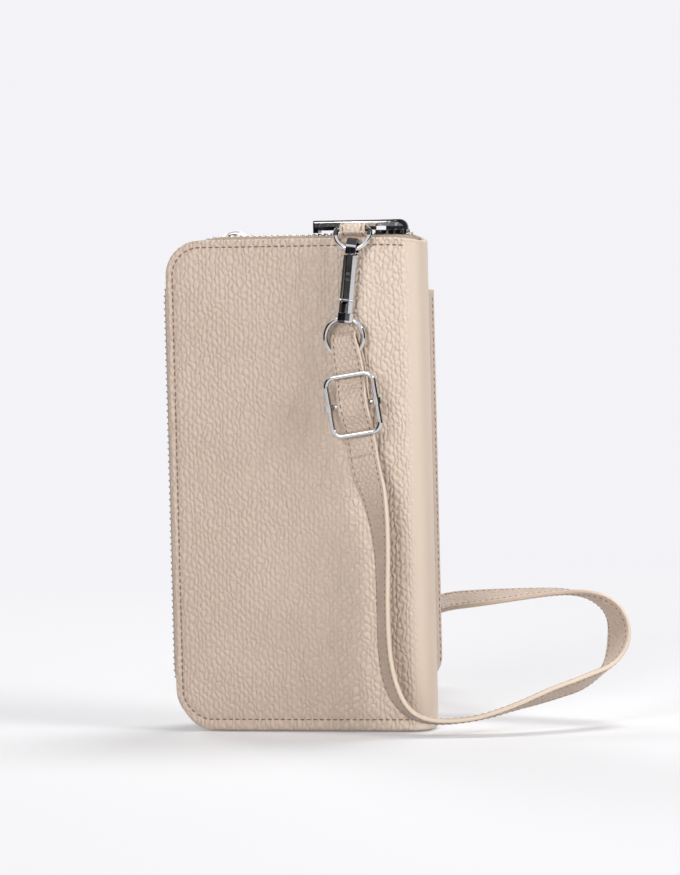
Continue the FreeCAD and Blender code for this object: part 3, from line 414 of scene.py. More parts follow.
# Linings, pockets and divider. Thin smooth leather cut to shape, edges turned, glued to the boards and
# sewn; the three card pockets step down one over the other, and the divider hangs from the spine.
lining_leather, start = finish("lining_leather")
uv = start.make("UVMap", {"uv_map": "sheet"})
pores = uv.noise(260.0, 4.0, "2D")
cloud = uv.noise(4.0, 2.0, "2D")
tone = (pores * 0.5 + cloud * 0.5).between(0.3, 0.7)
shade(start, Base_Color=tone.mix((0.44, 0.335, 0.26), (0.53, 0.415, 0.33)), Roughness=0.62,
      Normal=pores.bump(0.35, 0.00015), Specular_IOR_Level=0.35)


def flat_leaf(name, node, x0, x1, z0, z1, y_outer, y_inner, corner, crown, body):
    """Leaf standing between two depths: the turned sheet on a flat place, crowned by a product of sines."""
    way = 1 if y_inner > y_outer else -1
    roll = abs(y_inner - y_outer) / 2
    wide, high = x1 - x0, z1 - z0

    def place(s, z, out):
        """Across, up and out, from the leaf's lower corner."""
        return np.stack([x0 + s, y_inner + way * out + 0 * s, z0 + z + 0 * s], -1)

    def rise(s, z):
        """Half a sine across, times the root of half a sine up."""
        across = np.sin(math.pi * np.clip(s / wide, 0, 1))
        return crown * across * np.sin(math.pi * np.clip(z / high, 0, 1)) ** 0.5

    leaf = turned_sheet(name, wide, high, corner, roll, place, rise,
                        steps((roll, 4, 0.6), (4, wide - 4, 3.0), (wide - 4, wide - roll, 0.6)),
                        steps((roll, 8, 0.7), (8, high - 8, 4.0), (high - 8, high - roll, 0.7)), flip=way > 0)
    fitted(leaf, lining_leather, "lining_leather", body, [node])


lining_left, lining_right, lining_base, lining_top = -46.75, 44.05, 2.2, 187.8
lining_outer, lining_inner, lining_corner = 9.0, 8.4, 11.8
pocket_left, pocket_right, pocket_base, pocket_ply = -43.75, 41.05, 12.0, 0.7
for name, node, side, body in (("near_lining", "back_lining", -1, "back_half"),
                               ("far_lining", "front_lining", 1, "front_half")):
    flat_leaf(name, node, lining_left, lining_right, lining_base, lining_top,
              side * lining_outer, side * lining_inner, lining_corner, 0.0, body)
for number, top in ((1, 100.0), (2, 84.0), (3, 68.0)):
    depth = -lining_inner + pocket_ply * (number - 1)
    flat_leaf("card_leaf_%d" % number, "card_pocket_%d" % number, pocket_left, pocket_right, pocket_base, top,
              depth, depth + pocket_ply, 3.0, 0.25, "back_half")
flat_leaf("slip_leaf", "slip_pocket", pocket_left, pocket_right, pocket_base, 128.0,
          lining_inner, lining_inner - pocket_ply, 3.0, 0.3, "front_half")
flat_leaf("divider_leaf", "divider", -39.95, 50.95, 24.0, 166.0, -0.6, 0.6, 5.0, 0.0, "divider")


def leaf_seam(name, x0, x1, z0, z1, y, way, body, open_top=True):
    """Stitches along a leaf's two sides and its base, and along its top unless that is open, at an even gap
    a little inside its edge."""
    gap = 2.7
    rows = [(x0, z0, x0, z1), (x0, z0, x1, z0), (x1, z0, x1, z1)]
    if not open_top:
        rows.append((x0, z1, x1, z1))
    centre, along = [], []
    for xa, za, xb, zb in rows:
        count = int(math.hypot(xb - xa, zb - za) / gap)
        t = (np.arange(count) + 0.5) / count
        centre.append(np.stack([xa + (xb - xa) * t, y + 0 * t, za + (zb - za) * t], -1))
        along.append(np.tile([[float(xb - xa), 0.0, float(zb - za)]], (count, 1)))
    centre, along = np.concatenate(centre), np.concatenate(along)
    seam = thread_run(name, centre, along, np.tile([[0.0, way, 0.0]], (len(centre), 1)), 1.9, 0.22)
    fitted(seam, thread_dark, "lining_leather", body)


leaf_seam("card_leaf_stitches", pocket_left + 1.8, pocket_right - 1.8, 13.8, 66.0, -6.2, 1.0, "back_half")
leaf_seam("slip_leaf_stitches", pocket_left + 1.8, pocket_right - 1.8, 13.8, 126.0, 7.6, -1.0, "front_half")
for name, way in (("divider_stitches_near", -1.0), ("divider_stitches_far", 1.0)):
    leaf_seam(name, -38.0, 48.0, 26.0, 164.0, way * 0.68, way, "divider", False)


# Gussets. A pleat of thin lining leather at the top and the bottom joins the two linings and folds
# inwards when the pouch is closed; it stops the halves from opening too far.
def gusset_pleat(name, node, base, fold):
    """Pleat: a soft V between the linings, carried along X. Depth y runs across, height follows a cosine."""
    reach = 8.25
    y = np.linspace(-reach, reach, 33)[None, :]
    x = np.linspace(-39.9, 42.5, 48)[:, None]
    bend = 0.5 + 0.5 * np.cos(np.clip(np.abs(y) / reach, 0, 1) * math.pi)
    slack = 0.5 * np.sin(x * 0.21) * np.sin(y * 0.5) * bend
    z = base + (fold - base) * bend + slack
    points = np.stack([x + 0 * y, y + 0 * x, z], -1)
    uv = np.stack([x + 0 * y, y + 0 * x], -1) / 100
    pleat = piece(name, points, quads(48, 33), uv)
    wall = pleat.modifiers.new("cloth", "SOLIDIFY")
    wall.thickness, wall.offset = 0.0005, 0.0
    fitted(pleat, lining_leather, "lining_leather", nodes=[node])
    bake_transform(pleat)


gusset_pleat("top_pleat", "top_gusset", 184.0, 172.0)
gusset_pleat("bottom_pleat", "bottom_gusset", 6.0, 18.0)


# Zip tapes. Woven tape sewn in behind each cover's edge; it rises to the chain, which stands a little
# proud of the covers down the left side and runs level with them along the top and the bottom.
def chain_line(left, base, top, corner, right, count):
    """U-shaped line of the zip: along the top from the spine, round, down, round, back along the bottom.
    Every stretch gets the same share of points, so lines of different size pair up."""
    t = np.linspace(0, 1, count)[:-1]
    a = t * math.pi / 2
    x = np.concatenate([right + (left + corner - right) * t, left + corner * (1 - np.sin(a)), left + 0 * t,
                        left + corner * (1 - np.cos(a)), left + corner + (right - left - corner) * t,
                        [right]])
    z = np.concatenate([top + 0 * t, top - corner * (1 - np.cos(a)),
                        top - corner - (top - base - 2 * corner) * t,
                        base + corner * (1 - np.sin(a)), base + 0 * t, [base]])
    return x, z


tape_end = 47.95
chain_left, chain_base, chain_top, chain_corner = -51.35, -1.8, 190.4, 24.0
seam_left, seam_base, seam_top, seam_corner = -47.45, 1.5, 188.5, 12.5
tape_weave, start = finish("zip_tape_weave")
uv = start.make("UVMap", {"uv_map": "sheet"})
twill = start.make("TexWave", {"bands_direction": "DIAGONAL"}, "Fac", Vector=uv, Scale=110.0, Distortion=0.6)
ribs = start.make("TexWave", {"bands_direction": "Y"}, "Fac", Vector=uv, Scale=90.0, Distortion=0.3)
fuzz = uv.noise(500.0, 2.0, "2D")
weave = twill * 0.6 + fuzz * 0.4
shade(start, Base_Color=weave.mix((0.33, 0.235, 0.18), (0.55, 0.43, 0.345)), Roughness=0.85,
      Normal=(twill + ribs * 0.5).bump(0.7, 0.0002), Sheen_Weight=0.15)


def zip_side(made, material, slot, node, body):
    """Fits one side of the zip. The near side moves with its half; the far one stays where it is made."""
    fitted(made, material, slot, nodes=[node])
    if body == "back_half":
        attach(made, body)
    else:
        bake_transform(made)


def zip_tape(name, node, side, body):
    """Tape from the chain's edge, level under the slider and falling at the side and base, then to the
    seam."""
    chain = chain_line(chain_left, chain_base, chain_top, chain_corner, tape_end, 25)
    seam = chain_line(seam_left, seam_base, seam_top, seam_corner, tape_end, 25)
    fall = chain_line(chain_left + 1.3, chain_base + 1.3, chain_top, chain_corner, tape_end, 25)
    depth = np.array([1.4, 2.4, 3.0, 3.6, 4.3, 4.9, 5.8, 6.6, 7.5, 8.4])
    dip = np.clip((depth - 2.4) / 2.5, 0, 1)[None, :]
    lean = np.clip((depth - 4.9) / 3.5, 0, 1)[None, :]
    x, z = [(a[:, None] * (1 - dip) + b[:, None] * dip) * (1 - lean) + c[:, None] * lean
            for a, b, c in zip(chain, fall, seam)]
    under = tape_end - 4.0 + np.sqrt(6.6 ** 2 - np.clip(depth - 2.5, 0, None) ** 2)[None, :]
    x = x + (under - tape_end) * np.clip((x - 36) / (tape_end - 36), 0, 1)
    z = z - 1.8 * np.clip((x - 45.5) / 5, 0, 1) ** 1.5 * (z > 100)
    points = np.stack([x, side * depth[None, :] + 0 * x, z], -1)
    length = np.concatenate([[0], np.cumsum(np.hypot(np.diff(chain[0]), np.diff(chain[1])))])
    uv = np.stack([length[:, None] + 0 * x, depth[None, :] + 0 * x], -1) / 100
    rows, cols = x.shape
    tape = piece(name, points, quads(rows, cols), uv, flip=side < 0)
    wall = tape.modifiers.new("cloth", "SOLIDIFY")
    wall.thickness, wall.offset = 0.0007, 0.0
    zip_side(tape, tape_weave, "zip_tape", node, body)


zip_tape("near_tape", "back_zip_tape", -1, "back_half")
zip_tape("far_tape", "front_zip_tape", 1, "front_half")


# Zip chain. Pale metal teeth clamped over each tape's corded edge, the two rows half a pitch apart so
# that they mesh.
teeth_metal, start = finish("tooth_metal")
spot = start.make("TexCoord", None, "Object")
worn = spot.noise(700.0, 3.0)
shade(start, Base_Color=worn.mix((0.40, 0.355, 0.305), (0.62, 0.58, 0.53)), Metallic=0.9,
      Roughness=worn * 0.25 + 0.2)
first_tooth, tooth_pitch, tooth_count = 11.5, 2.5, 142


def chain_row(name, node, side, shift, body):
    """Each tooth is a rounded block: an eight-sided section carried from its nose over the tape's edge."""
    top_run = tape_end - chain_left - chain_corner
    arc = chain_corner * math.pi / 2
    side_run = chain_top - chain_base - 2 * chain_corner
    run = first_tooth + (np.arange(tooth_count) + shift) * tooth_pitch
    a = np.clip((run - top_run) / chain_corner, 0, math.pi / 2)
    b = np.clip((run - top_run - arc - side_run) / chain_corner, 0, math.pi / 2)
    down = np.clip(run - top_run - arc, 0, side_run)
    back = np.clip(run - top_run - 2 * arc - side_run, 0, None)
    x = tape_end - np.minimum(run, top_run) - chain_corner * (np.sin(a) + np.cos(b) - 1) + back
    z = chain_top - chain_corner * (1 - np.cos(a) + np.sin(b)) - down
    turn = a + b
    along = np.stack([-np.cos(turn), 0 * x, -np.sin(turn)], -1)
    out = np.stack([-np.sin(turn), 0 * x, np.cos(turn)], -1)
    ring = np.linspace(0, 2 * math.pi, 8, endpoint=False) + math.pi / 8
    square = np.stack([np.cos(ring), np.sin(ring)], -1)
    square = square / np.max(np.abs(square), -1, keepdims=True) ** 0.75
    depth = np.array([-0.62, -0.5, 0.45, 0.8, 2.15, 2.35])
    half_run = np.array([0.18, 0.42, 0.42, 0.55, 0.55, 0.30])
    half_out = np.array([0.20, 0.52, 0.52, 1.0, 0.92, 0.45])
    u = half_run[:, None] * square[None, :, 0]
    v = half_out[:, None] * square[None, :, 1]
    w = side * depth[:, None] + 0 * u
    local = np.stack([u, v, w], -1).reshape(1, -1, 3)
    points = (np.stack([x, 0 * x, z], -1)[:, None] + along[:, None] * local[..., :1]
              + out[:, None] * local[..., 1:2] + np.array([0.0, 1.0, 0.0]) * local[..., 2:])
    k = np.arange(5)[:, None] * 8 + np.arange(8)[None, :]
    n = np.arange(5)[:, None] * 8 + (np.arange(8)[None, :] + 1) % 8
    skin = np.stack([k, n, n + 8, k + 8], -1).reshape(-1, 4)
    ends = np.array([[0, 3, 2, 1], [0, 5, 4, 3], [0, 7, 6, 5],
                     [40, 41, 42, 43], [40, 43, 44, 45], [40, 45, 46, 47]])
    one = np.concatenate([skin, ends])
    every = (one[None] + 48 * np.arange(len(run))[:, None, None]).reshape(-1, 4)
    row = piece(name, points, every, flip=side < 0)
    zip_side(row, teeth_metal, "zip_teeth", node, body)


chain_row("near_teeth", "back_zip_teeth", -1, 0.0, "back_half")
chain_row("far_teeth", "front_zip_teeth", 1, 0.5, "front_half")
coated(teeth_metal, "back_zip_stops", "front_zip_stops")


# Polished fittings. Zip slider, bridge and pull, rings, hooks and the buckle are cast and nickel plated. The
# plate is bright, with a faint wave from polishing and hairline wear. Dark bands at fixed places on the
# zip's fittings, the hooks and the near ring are painted in: painted reflections, and painted shade under the
# pull's bar and where the near ring runs into its tab.
def polished(name):
    """Bright plate: its material, the value that its nodes start from, the place on it, and the slow wave
    that polishing leaves."""
    made, start = finish(name)
    spot = start.make("TexCoord", None, "Object")
    return made, start, spot, spot.noise(160.0, 1.0)


def hairlines(spot):
    """Fine scratches drawn out along the height."""
    return spot.scaled(1, 1, 0.12).noise(2600.0, 2.0)


nickel, start, spot, wave = polished("polished_nickel")
hair = hairlines(spot)
shade(start, Base_Color=wave.mix((0.58, 0.58, 0.575), (0.68, 0.68, 0.675)), Metallic=1.0,
      Roughness=hair * 0.08 + 0.05, Normal=(wave + hair * 0.04).bump(0.25, 0.00012))
cast_nickel, start, spot, wave = polished("cast_nickel")
hair = hairlines(spot)
upward = spot.part("Z")
away = spot.part("Y")
sideways = spot.part("X")
# Painted reflections: dark bands on the near hook's shank, collar and crook, on the far hook, along the
# pull's top edge and left end, and round the bridge's rim. Painted shade: the zip's fittings under the pull's
# bar, with bright painted stripes along the slider.
off_axis = sideways - 0.02627 - (upward - 0.178) * 0.14
foot = upward.between(0.1678, 0.1682)
shoulder = upward.between(0.1868, 0.1872)
shank = foot * (1 - shoulder) * (1 - off_axis.between(-0.0016, -0.0011))
neck = upward.between(0.1595, 0.1597) * (1 - foot) * (1 - off_axis.between(0.0003, 0.0008))
crook = shoulder * (1 - upward.between(0.1934, 0.1936)) * (1 - off_axis.between(0.0018, 0.0022))
crook = crook + away.between(0.2150, 0.2154)
under = upward.between(0.1937, 0.1939) * (1 - upward.between(0.1966, 0.1969))
stripe = start.math("SINE", sideways * 2300.0).between(0.35, 0.75) * (1 - upward.between(0.1952, 0.1956))
tip = upward.between(0.1930, 0.1932) * (1 - sideways.between(0.0094, 0.0097))
ridge = upward.between(0.1985, 0.1988) + tip
beside = sideways - 0.0402
above = upward - 0.1953
arch = (beside * beside * 0.45 + above * above).between(0.0000092, 0.0000112)
arch = arch * sideways.between(0.0380, 0.0384)
plate = wave.mix((0.64, 0.64, 0.635), (0.74, 0.74, 0.735))
# All these painted reflections and shade go onto the plate as near-black.
dark = shank + neck + crook + under * (1 - stripe) + ridge + arch * upward.between(0.1953, 0.1955)
plate = start.math("MINIMUM", dark, 1.0).mix(plate, (0.07, 0.07, 0.075))
shade(start, Base_Color=plate, Metallic=1.0, Roughness=hair * 0.08 + 0.05,
      Normal=(wave + hair * 0.04).bump(0.25, 0.00012))
ring_nickel, start, spot, wave = polished("ring_nickel")
plate = wave.mix((0.66, 0.66, 0.66), (0.76, 0.76, 0.76))
# Painted shade: the near ring's top, where it runs inside its tab, is painted near-black.
plate = spot.part("Z").between(0.1936, 0.1942).mix(plate, (0.10, 0.10, 0.10))
shade(start, Base_Color=plate, Metallic=1.0, Roughness=wave * 0.06 + 0.06)
gate_nickel, start, spot, wave = polished("smoked_nickel")
shade(start, Base_Color=wave.mix((0.085, 0.085, 0.09), (0.13, 0.13, 0.14)), Metallic=1.0,
      Roughness=wave * 0.1 + 0.08)
spring_steel, start = finish("spring_steel")
spot = start.make("TexCoord", None, "Object")
brushed = spot.scaled(0.1, 1, 1).noise(1500.0, 2.0)
shade(start, Base_Color=brushed.mix((0.46, 0.46, 0.47), (0.60, 0.60, 0.62)), Metallic=1.0,
      Roughness=brushed * 0.2 + 0.25)
coated(ring_nickel, "d_ring_1")
coated(nickel, "d_ring_2", "strap_ring_1", "strap_ring_2", "buckle_frame", "buckle_bar")
coated(cast_nickel, "zip_pull", "zip_slider", "zip_bridge")
for hook in ("hook_1", "hook_2"):
    coated(cast_nickel, hook + "_body", hook + "_collar")
    coated(gate_nickel, hook + "_gate")
    coated(spring_steel, hook + "_gate_pin", hook + "_spring")


# Leather loops. The tab at the top of the near cover and the chape on the far one are folded strips of
# the cover's leather: round the D ring's bar and back, sewn flat through all plies.
def folded_line(start, heading, moves, gap=0.35):
    """Line of a folded strip seen on edge: straight runs (length,) and turns (radius, degrees), a left turn
    being positive."""
    here, angle, out = np.array(start, float), math.radians(heading), []
    for move in moves:
        if len(move) == 1:
            t = np.linspace(0, move[0], max(2, int(move[0] / gap) + 1))[:, None]
            out.append(here + t * np.array([math.cos(angle), math.sin(angle)]))
        else:
            way = math.copysign(1, move[1])
            centre = here + way * move[0] * np.array([-math.sin(angle), math.cos(angle)])
            t = np.linspace(0, math.radians(move[1]), max(5, int(abs(move[1]) / 12) + 1))
            a = math.atan2(*(here - centre)[::-1]) + t
            out.append(centre + move[0] * np.stack([np.cos(a), np.sin(a)], -1))
            angle += math.radians(move[1])
        here = out[-1][-1]
    return np.concatenate([o[:-1] for o in out] + [out[-1][-1:]])


def strip_section(width, thick, roll, bow=0.0):
    """Section of a flat strip: a rectangle with rounded edges, starting at the middle of the first edge.
    Gives its points across and through, and the distance round it."""
    h, t = width / 2, thick / 2
    corner = [(h - roll, t - roll, math.pi / 2, 0), (h - roll, -t + roll, 0, -math.pi / 2),
              (-h + roll, -t + roll, -math.pi / 2, -math.pi), (-h + roll, t - roll, math.pi, math.pi / 2)]
    across, through = [], []
    for i, (cx, cy, a0, a1) in enumerate(corner):
        a = np.linspace(a0, a1, 4)
        across += list(cx + roll * np.cos(a))
        through += list(cy + roll * np.sin(a))
        if i % 2 == 1:
            w = np.linspace(-h + roll, h - roll, 9)[1:-1]
            w = w if i == 3 else w[::-1]
            across += list(w)
            through += list((t if i == 3 else -t) + 0 * w)
    u, v = np.array(across), np.array(through)
    v = v + bow * np.sign(v) * (1 - (u / h) ** 2)
    u, v = np.append(u, u[0]), np.append(v, v[0])
    girdle = np.concatenate([[0], np.cumsum(np.hypot(np.diff(u), np.diff(v)))])
    return u, v, girdle


def run_along(line):
    """Distance along a line from its start to each of its points."""
    return np.concatenate([[0], np.cumsum(np.linalg.norm(np.diff(line, axis=0), axis=1))])


def carried(name, line, side, up, section):
    """A section carried along a line: across it on side, whose length widens it, through it on up. Ends are
    closed with fans."""
    u, v, girdle = section
    points = line[:, None] + side[:, None] * u[None, :, None] + up[:, None] * v[None, :, None]
    rows, cols = points.shape[:2]
    length = run_along(line)
    uv = np.stack([length[:, None] + 0 * girdle[None], girdle[None] + 0 * length[:, None]], -1) / 100
    points = np.concatenate([points.reshape(-1, 3), line[:1], line[-1:]])
    middle = girdle[-1] / 200
    uv = np.concatenate([uv.reshape(-1, 2), [[0, middle], [length[-1] / 100, middle]]])
    k = np.arange(cols - 1)
    cap_a = np.stack([k, 0 * k + rows * cols, k + 1], 1)
    last = (rows - 1) * cols
    cap_b = np.stack([last + k + 1, 0 * k + rows * cols + 1, last + k], 1)
    faces = quads(rows, cols).tolist() + cap_a.tolist() + cap_b.tolist()
    return piece(name, points, [np.array(f) for f in faces], uv)


def line_sides(line, across):
    """Directions across and through a strip: across is squared to the line, through is square to both."""
    way = np.gradient(line, axis=0)
    way = way / np.linalg.norm(way, axis=1, keepdims=True)
    side = across - way * np.sum(across * way, 1, keepdims=True)
    side = side / np.linalg.norm(side, axis=1, keepdims=True)
    return side, np.cross(way, side)


def strip_leather(name, width, thick, face, edge, cell):
    """Grained strip leather whose cut edges, found by the distance round the section, are painted pale."""
    made, start = finish(name)
    uv = start.make("UVMap", {"uv_map": "sheet"})
    height, crease = pebbles(start, uv, cell)
    half = (width + thick) / 100 * 0.97
    fold = start.math("MODULO", uv.part("Y"), half)
    paint = 1 - fold.between(thick / 100 * 0.80, thick / 100 * 1.15)
    cloud = uv.noise(9.0, 2.0, "2D")
    skin = cloud.between(0.3, 0.7).mix(face, tuple(c * 1.08 for c in face))
    # Painted shade: the grain's valleys are painted darker.
    skin = (crease * 0.5).mix(skin, tuple(c * 0.80 for c in face))
    shade(start, Base_Color=paint.mix(skin, edge), Roughness=0.55 - paint * 0.12,
          Normal=(height * (1 - paint)).bump(1.0, 0.00036), Specular_IOR_Level=0.42)
    return made


# Painted light: the loops' face is the cover's hide painted lighter, standing in for the light on the tab at
# the top of the near cover.
tab_width, tab_thick = 9.9, 0.9
tab_face_painted_light, tab_edge = (0.72, 0.59, 0.49), (0.70, 0.57, 0.46)
tab_leather = strip_leather("tab_leather", tab_width, tab_thick, tab_face_painted_light, tab_edge, grain_cell)


def leather_loop(name, node, middle, line, body):
    """Folded strip of the tab's width, whose line lies in the plane of depth and height."""
    place = np.stack([middle + 0 * line[:, 0], line[:, 0], line[:, 1]], -1)
    side, up = line_sides(place, np.tile([[1.0, 0.0, 0.0]], (len(place), 1)))
    loop = carried(name, place, side, up, strip_section(tab_width, tab_thick, 0.3))
    fitted(loop, tab_leather, "body_leather", body, [node])
    return place, side, up


tab_middle, chape_middle = 27.35, -26.5
near_line = folded_line((-9.05, 182.0), 90, [(10.75,), (2.5, 90.0), (1.35,), (1.75, 163.0), (2.986,),
                                             (1.0, -73.0), (8.0,)])
near_strip = leather_loop("near_loop", "near_tab", tab_middle, near_line, "back_half")
chape_line = folded_line((11.95, 169.1), 90, [(14.0,), (1.75, -180.0), (5.1, -29.37), (5.1, 29.37), (6.0,)])
chape_strip = leather_loop("far_loop", "far_chape", chape_middle, chape_line, "front_half")


def row_on(place, side, up, offset, first, last, pitch, lift):
    """Stitches along a strip: places at an even pitch between two lengths, offset across and lifted."""
    length = run_along(place)
    at = np.arange(first, last, pitch)

    def pick(values):
        """Values along the strip, read off at the stitches."""
        return np.stack([np.interp(at, length, values[:, i]) for i in range(3)], -1)

    way = np.gradient(place, axis=0)
    return pick(place) + pick(side) * offset + pick(up) * lift, pick(way), pick(up) * np.sign(lift)


def sewn(name, rows, body, slot):
    """One piece from several rows of stitches."""
    parts = [np.concatenate(group) for group in zip(*rows)]
    seam = thread_run(name, *parts, 1.9, 0.22)
    fitted(seam, thread_dark, slot, body)
    return seam


near_rows = [row_on(*near_strip, way * 3.7, 16.6, 24.0, 2.1, 0.52) for way in (-1, 1)]
sewn("near_loop_stitches", near_rows, "back_half", "body_leather")
chape_rows = [row_on(*chape_strip, way * 4.0, 24.0, 30.5, 2.3, 0.5) for way in (-1, 1)]
sewn("far_loop_stitches", chape_rows, "front_half", "body_leather")


# Phone sleeve. A panel of the cover's hide on the far face, its sides and base turned in to walls and
# sewn down, open at the top under a turned hem.
sleeve_left, sleeve_right, sleeve_base, sleeve_top = -44.45, 50.05, 14.0, 168.0
sleeve_depth, sleeve_corner, sleeve_round = 11.1, 10.0, 2.6


def sleeve_skin():
    """Panel grid with rounded lower corners, then strips round its sides and base: a quarter turn and a
    wall."""
    inset = sleeve_round
    wide, tight = sleeve_right - sleeve_left, sleeve_corner - inset
    z = steps((sleeve_base + inset, sleeve_base + 14, 0.7), (sleeve_base + 14, sleeve_top - 6, 3.0),
              (sleeve_top - 6, sleeve_top, 1.0))[:, None]
    rise = np.clip(tight - (z - sleeve_base - inset), 0, tight)
    cut = tight - np.sqrt(np.clip(tight ** 2 - rise ** 2, 0, None))
    share = np.linspace(0, 1, 56)[None, :]
    x = sleeve_left + inset + cut + share * (wide - 2 * inset - 2 * cut)
    z = z + 0 * x
    t = (x - sleeve_left) / wide
    h = (z - sleeve_base) / (sleeve_top - sleeve_base)
    belly = 0.9 * np.sin(math.pi * t) * np.sin(math.pi * np.clip(h * 0.9, 0, 1))
    face = np.stack([x, face_depth + sleeve_depth + belly, z], -1)
    rows, cols = x.shape
    number = np.arange(rows * cols).reshape(rows, cols)
    path = np.concatenate([number[::-1, 0], number[0, 1:-1], number[:, -1]])
    px, pz = x.ravel()[path], z.ravel()[path]
    nx = np.where(px < sleeve_left + sleeve_corner, px - sleeve_left - sleeve_corner,
                  np.where(px > sleeve_right - sleeve_corner, px - sleeve_right + sleeve_corner, 0))
    nz = np.where(pz < sleeve_base + sleeve_corner, pz - sleeve_base - sleeve_corner, 0)
    size = np.maximum(np.hypot(nx, nz), 1e-6)
    a = np.concatenate([np.linspace(0, math.pi / 2, 7)[1:], np.full(4, math.pi / 2)])[:, None]
    drop = np.concatenate([np.zeros(6), np.linspace(0, sleeve_depth - inset, 5)[1:]])[:, None]
    ex = px + inset * np.sin(a) * nx / size
    ez = pz + inset * np.sin(a) * nz / size
    ey = face_depth + sleeve_depth - inset * (1 - np.cos(a)) - drop + 0 * ex
    wall = np.stack([ex, ey, ez], -1)
    count = len(path)
    faces = [quads(rows, cols)[:, ::-1]]
    rings = [path] + [rows * cols + k * count + np.arange(count) for k in range(len(a))]
    for low, high in zip(rings, rings[1:]):
        faces.append(np.stack([low[:-1], low[1:], high[1:], high[:-1]], 1)[:, ::-1])
    turn = inset * a + drop
    uv = np.concatenate([np.stack([x, z], -1).reshape(-1, 2),
                         np.stack([px + turn * nx / size, pz + turn * nz / size], -1).reshape(-1, 2)]) / 100
    points = np.concatenate([face.reshape(-1, 3), wall.reshape(-1, 3)])
    return piece("phone_sleeve", points, np.concatenate(faces), uv)


sleeve = sleeve_skin()
wall = sleeve.modifiers.new("ply", "SOLIDIFY")
wall.thickness, wall.offset = 0.0013, -1.0
sleeve_leather, start = finish("sleeve_hide")
uv = start.make("UVMap", {"uv_map": "sheet"})
height, crease = pebbles(start, uv.scaled(1.0, grain_squash, 1), grain_cell)
cloud = uv.noise(3.2, 3.0, "2D")
# The grain's valleys are painted darker, as painted shade.
skin = (crease * 0.5).mix(cloud.between(0.3, 0.7).mix(hide, hide_pale), hide_crease_shade)
shade(start, Base_Color=skin, Roughness=0.56 + crease * 0.12, Normal=height.bump(1.0, grain_depth),
      Specular_IOR_Level=0.42, Sheen_Weight=0.06)
fitted(sleeve, sleeve_leather, "body_leather", "front_half", ["phone_pocket"])
seam_z = np.arange(sleeve_base + 9, sleeve_top - 2, stitch_pitch)
for name, x, way in (("sleeve_stitches_left", sleeve_left - 1.4, -1.0),
                     ("sleeve_stitches_right", sleeve_right + 1.4, 1.0)):
    places = np.stack([x + 0 * seam_z, face_depth + 5.6 + 0 * seam_z, seam_z], -1)
    along = np.tile([[0.0, 0.0, 1.0]], (len(places), 1))
    outward = np.tile([[way, 0.0, 0.0]], (len(places), 1))
    fitted(thread_run(name, places, along, outward, 1.9, 0.24), thread_dark, "body_leather", "front_half")


# Strap top. The strap's end is folded through its ring; one ply weaves behind the buckle's ends and over
# its bar, and the short ply is pared and sewn round that bar.
ring_centre = np.array([23.6, -16.17, 151.7])
strap_lean = math.radians(8.5)
strap_down = np.array([math.sin(strap_lean), 0.0, -math.cos(strap_lean)])
strap_across = np.array([math.cos(strap_lean), 0.0, math.sin(strap_lean)])
strap_out = np.array([0.0, -1.0, 0.0])
strap_width, strap_thick = 12.0, 1.8
# Painted shade: the strap's face is the cover's hide painted a little darker, for the shade on its front run.
strap_face_painted_shade = (0.545, 0.432, 0.354)
strap_edge = (0.70, 0.575, 0.46)
strap_hide = strip_leather("strap_hide", strap_width, strap_thick, strap_face_painted_shade, strap_edge, grain_cell)
ply, fold_run, lap, turned_run, top_reach = 2.15, 1.15, 0.8, 12.0, 46.0
wrap_radius, bar_out, half_frame, buckle_run = 1.75, 2.2, 11.5, 26.2
end_thick, buckle_gap = 1.2, 0.2
hump = bar_out + wrap_radius + end_thick / 2 + buckle_gap + strap_thick / 2 - ply


def s_turn(along, over):
    """Radius and angle of two equal turns that carry a strip sideways."""
    angle = 2 * math.atan2(over, along)
    return along / (2 * math.sin(angle)), math.degrees(angle)


def on_strap(line):
    """From down-the-strap and out-from-the-cover to the pouch's own axes."""
    return ring_centre + line[:, :1] * strap_down + line[:, 1:] * strap_out


def strap_ply(name, node, line, thick):
    """Folded ply of the strap, a fifth narrower where it goes through the ring, by a bell curve."""
    place = on_strap(line)
    side, up = line_sides(place, np.tile(strap_across, (len(place), 1)))
    side = side * (1 - 0.2 * np.exp(-((line[:, :1] + ply) / 7) ** 2))
    made = carried(name, place, side, up, strip_section(strap_width, thick, 0.45))
    fitted(made, strap_hide, "strap_leather", "back_half", [node])
    return place, side, up


radius, angle = s_turn(half_frame, hump)
top_moves = [(turned_run - fold_run,), (ply, -180.0), (buckle_run - half_frame - fold_run,), (radius, angle),
             (radius, -angle), (radius, -angle), (radius, angle),
             (top_reach - buckle_run - half_frame + lap,)]
top_line = folded_line((turned_run, -ply), 180, top_moves)
top_strip = strap_ply("strap_top_ply", "strap_top", top_line, strap_thick)
radius, angle = s_turn(buckle_run - turned_run, bar_out - wrap_radius + ply)
end_moves = [(radius, angle), (radius, -angle), (wrap_radius, 250.0)]
strap_ply("strap_end_ply", "strap_sewn_end", folded_line((turned_run, -ply), 0, end_moves), end_thick)


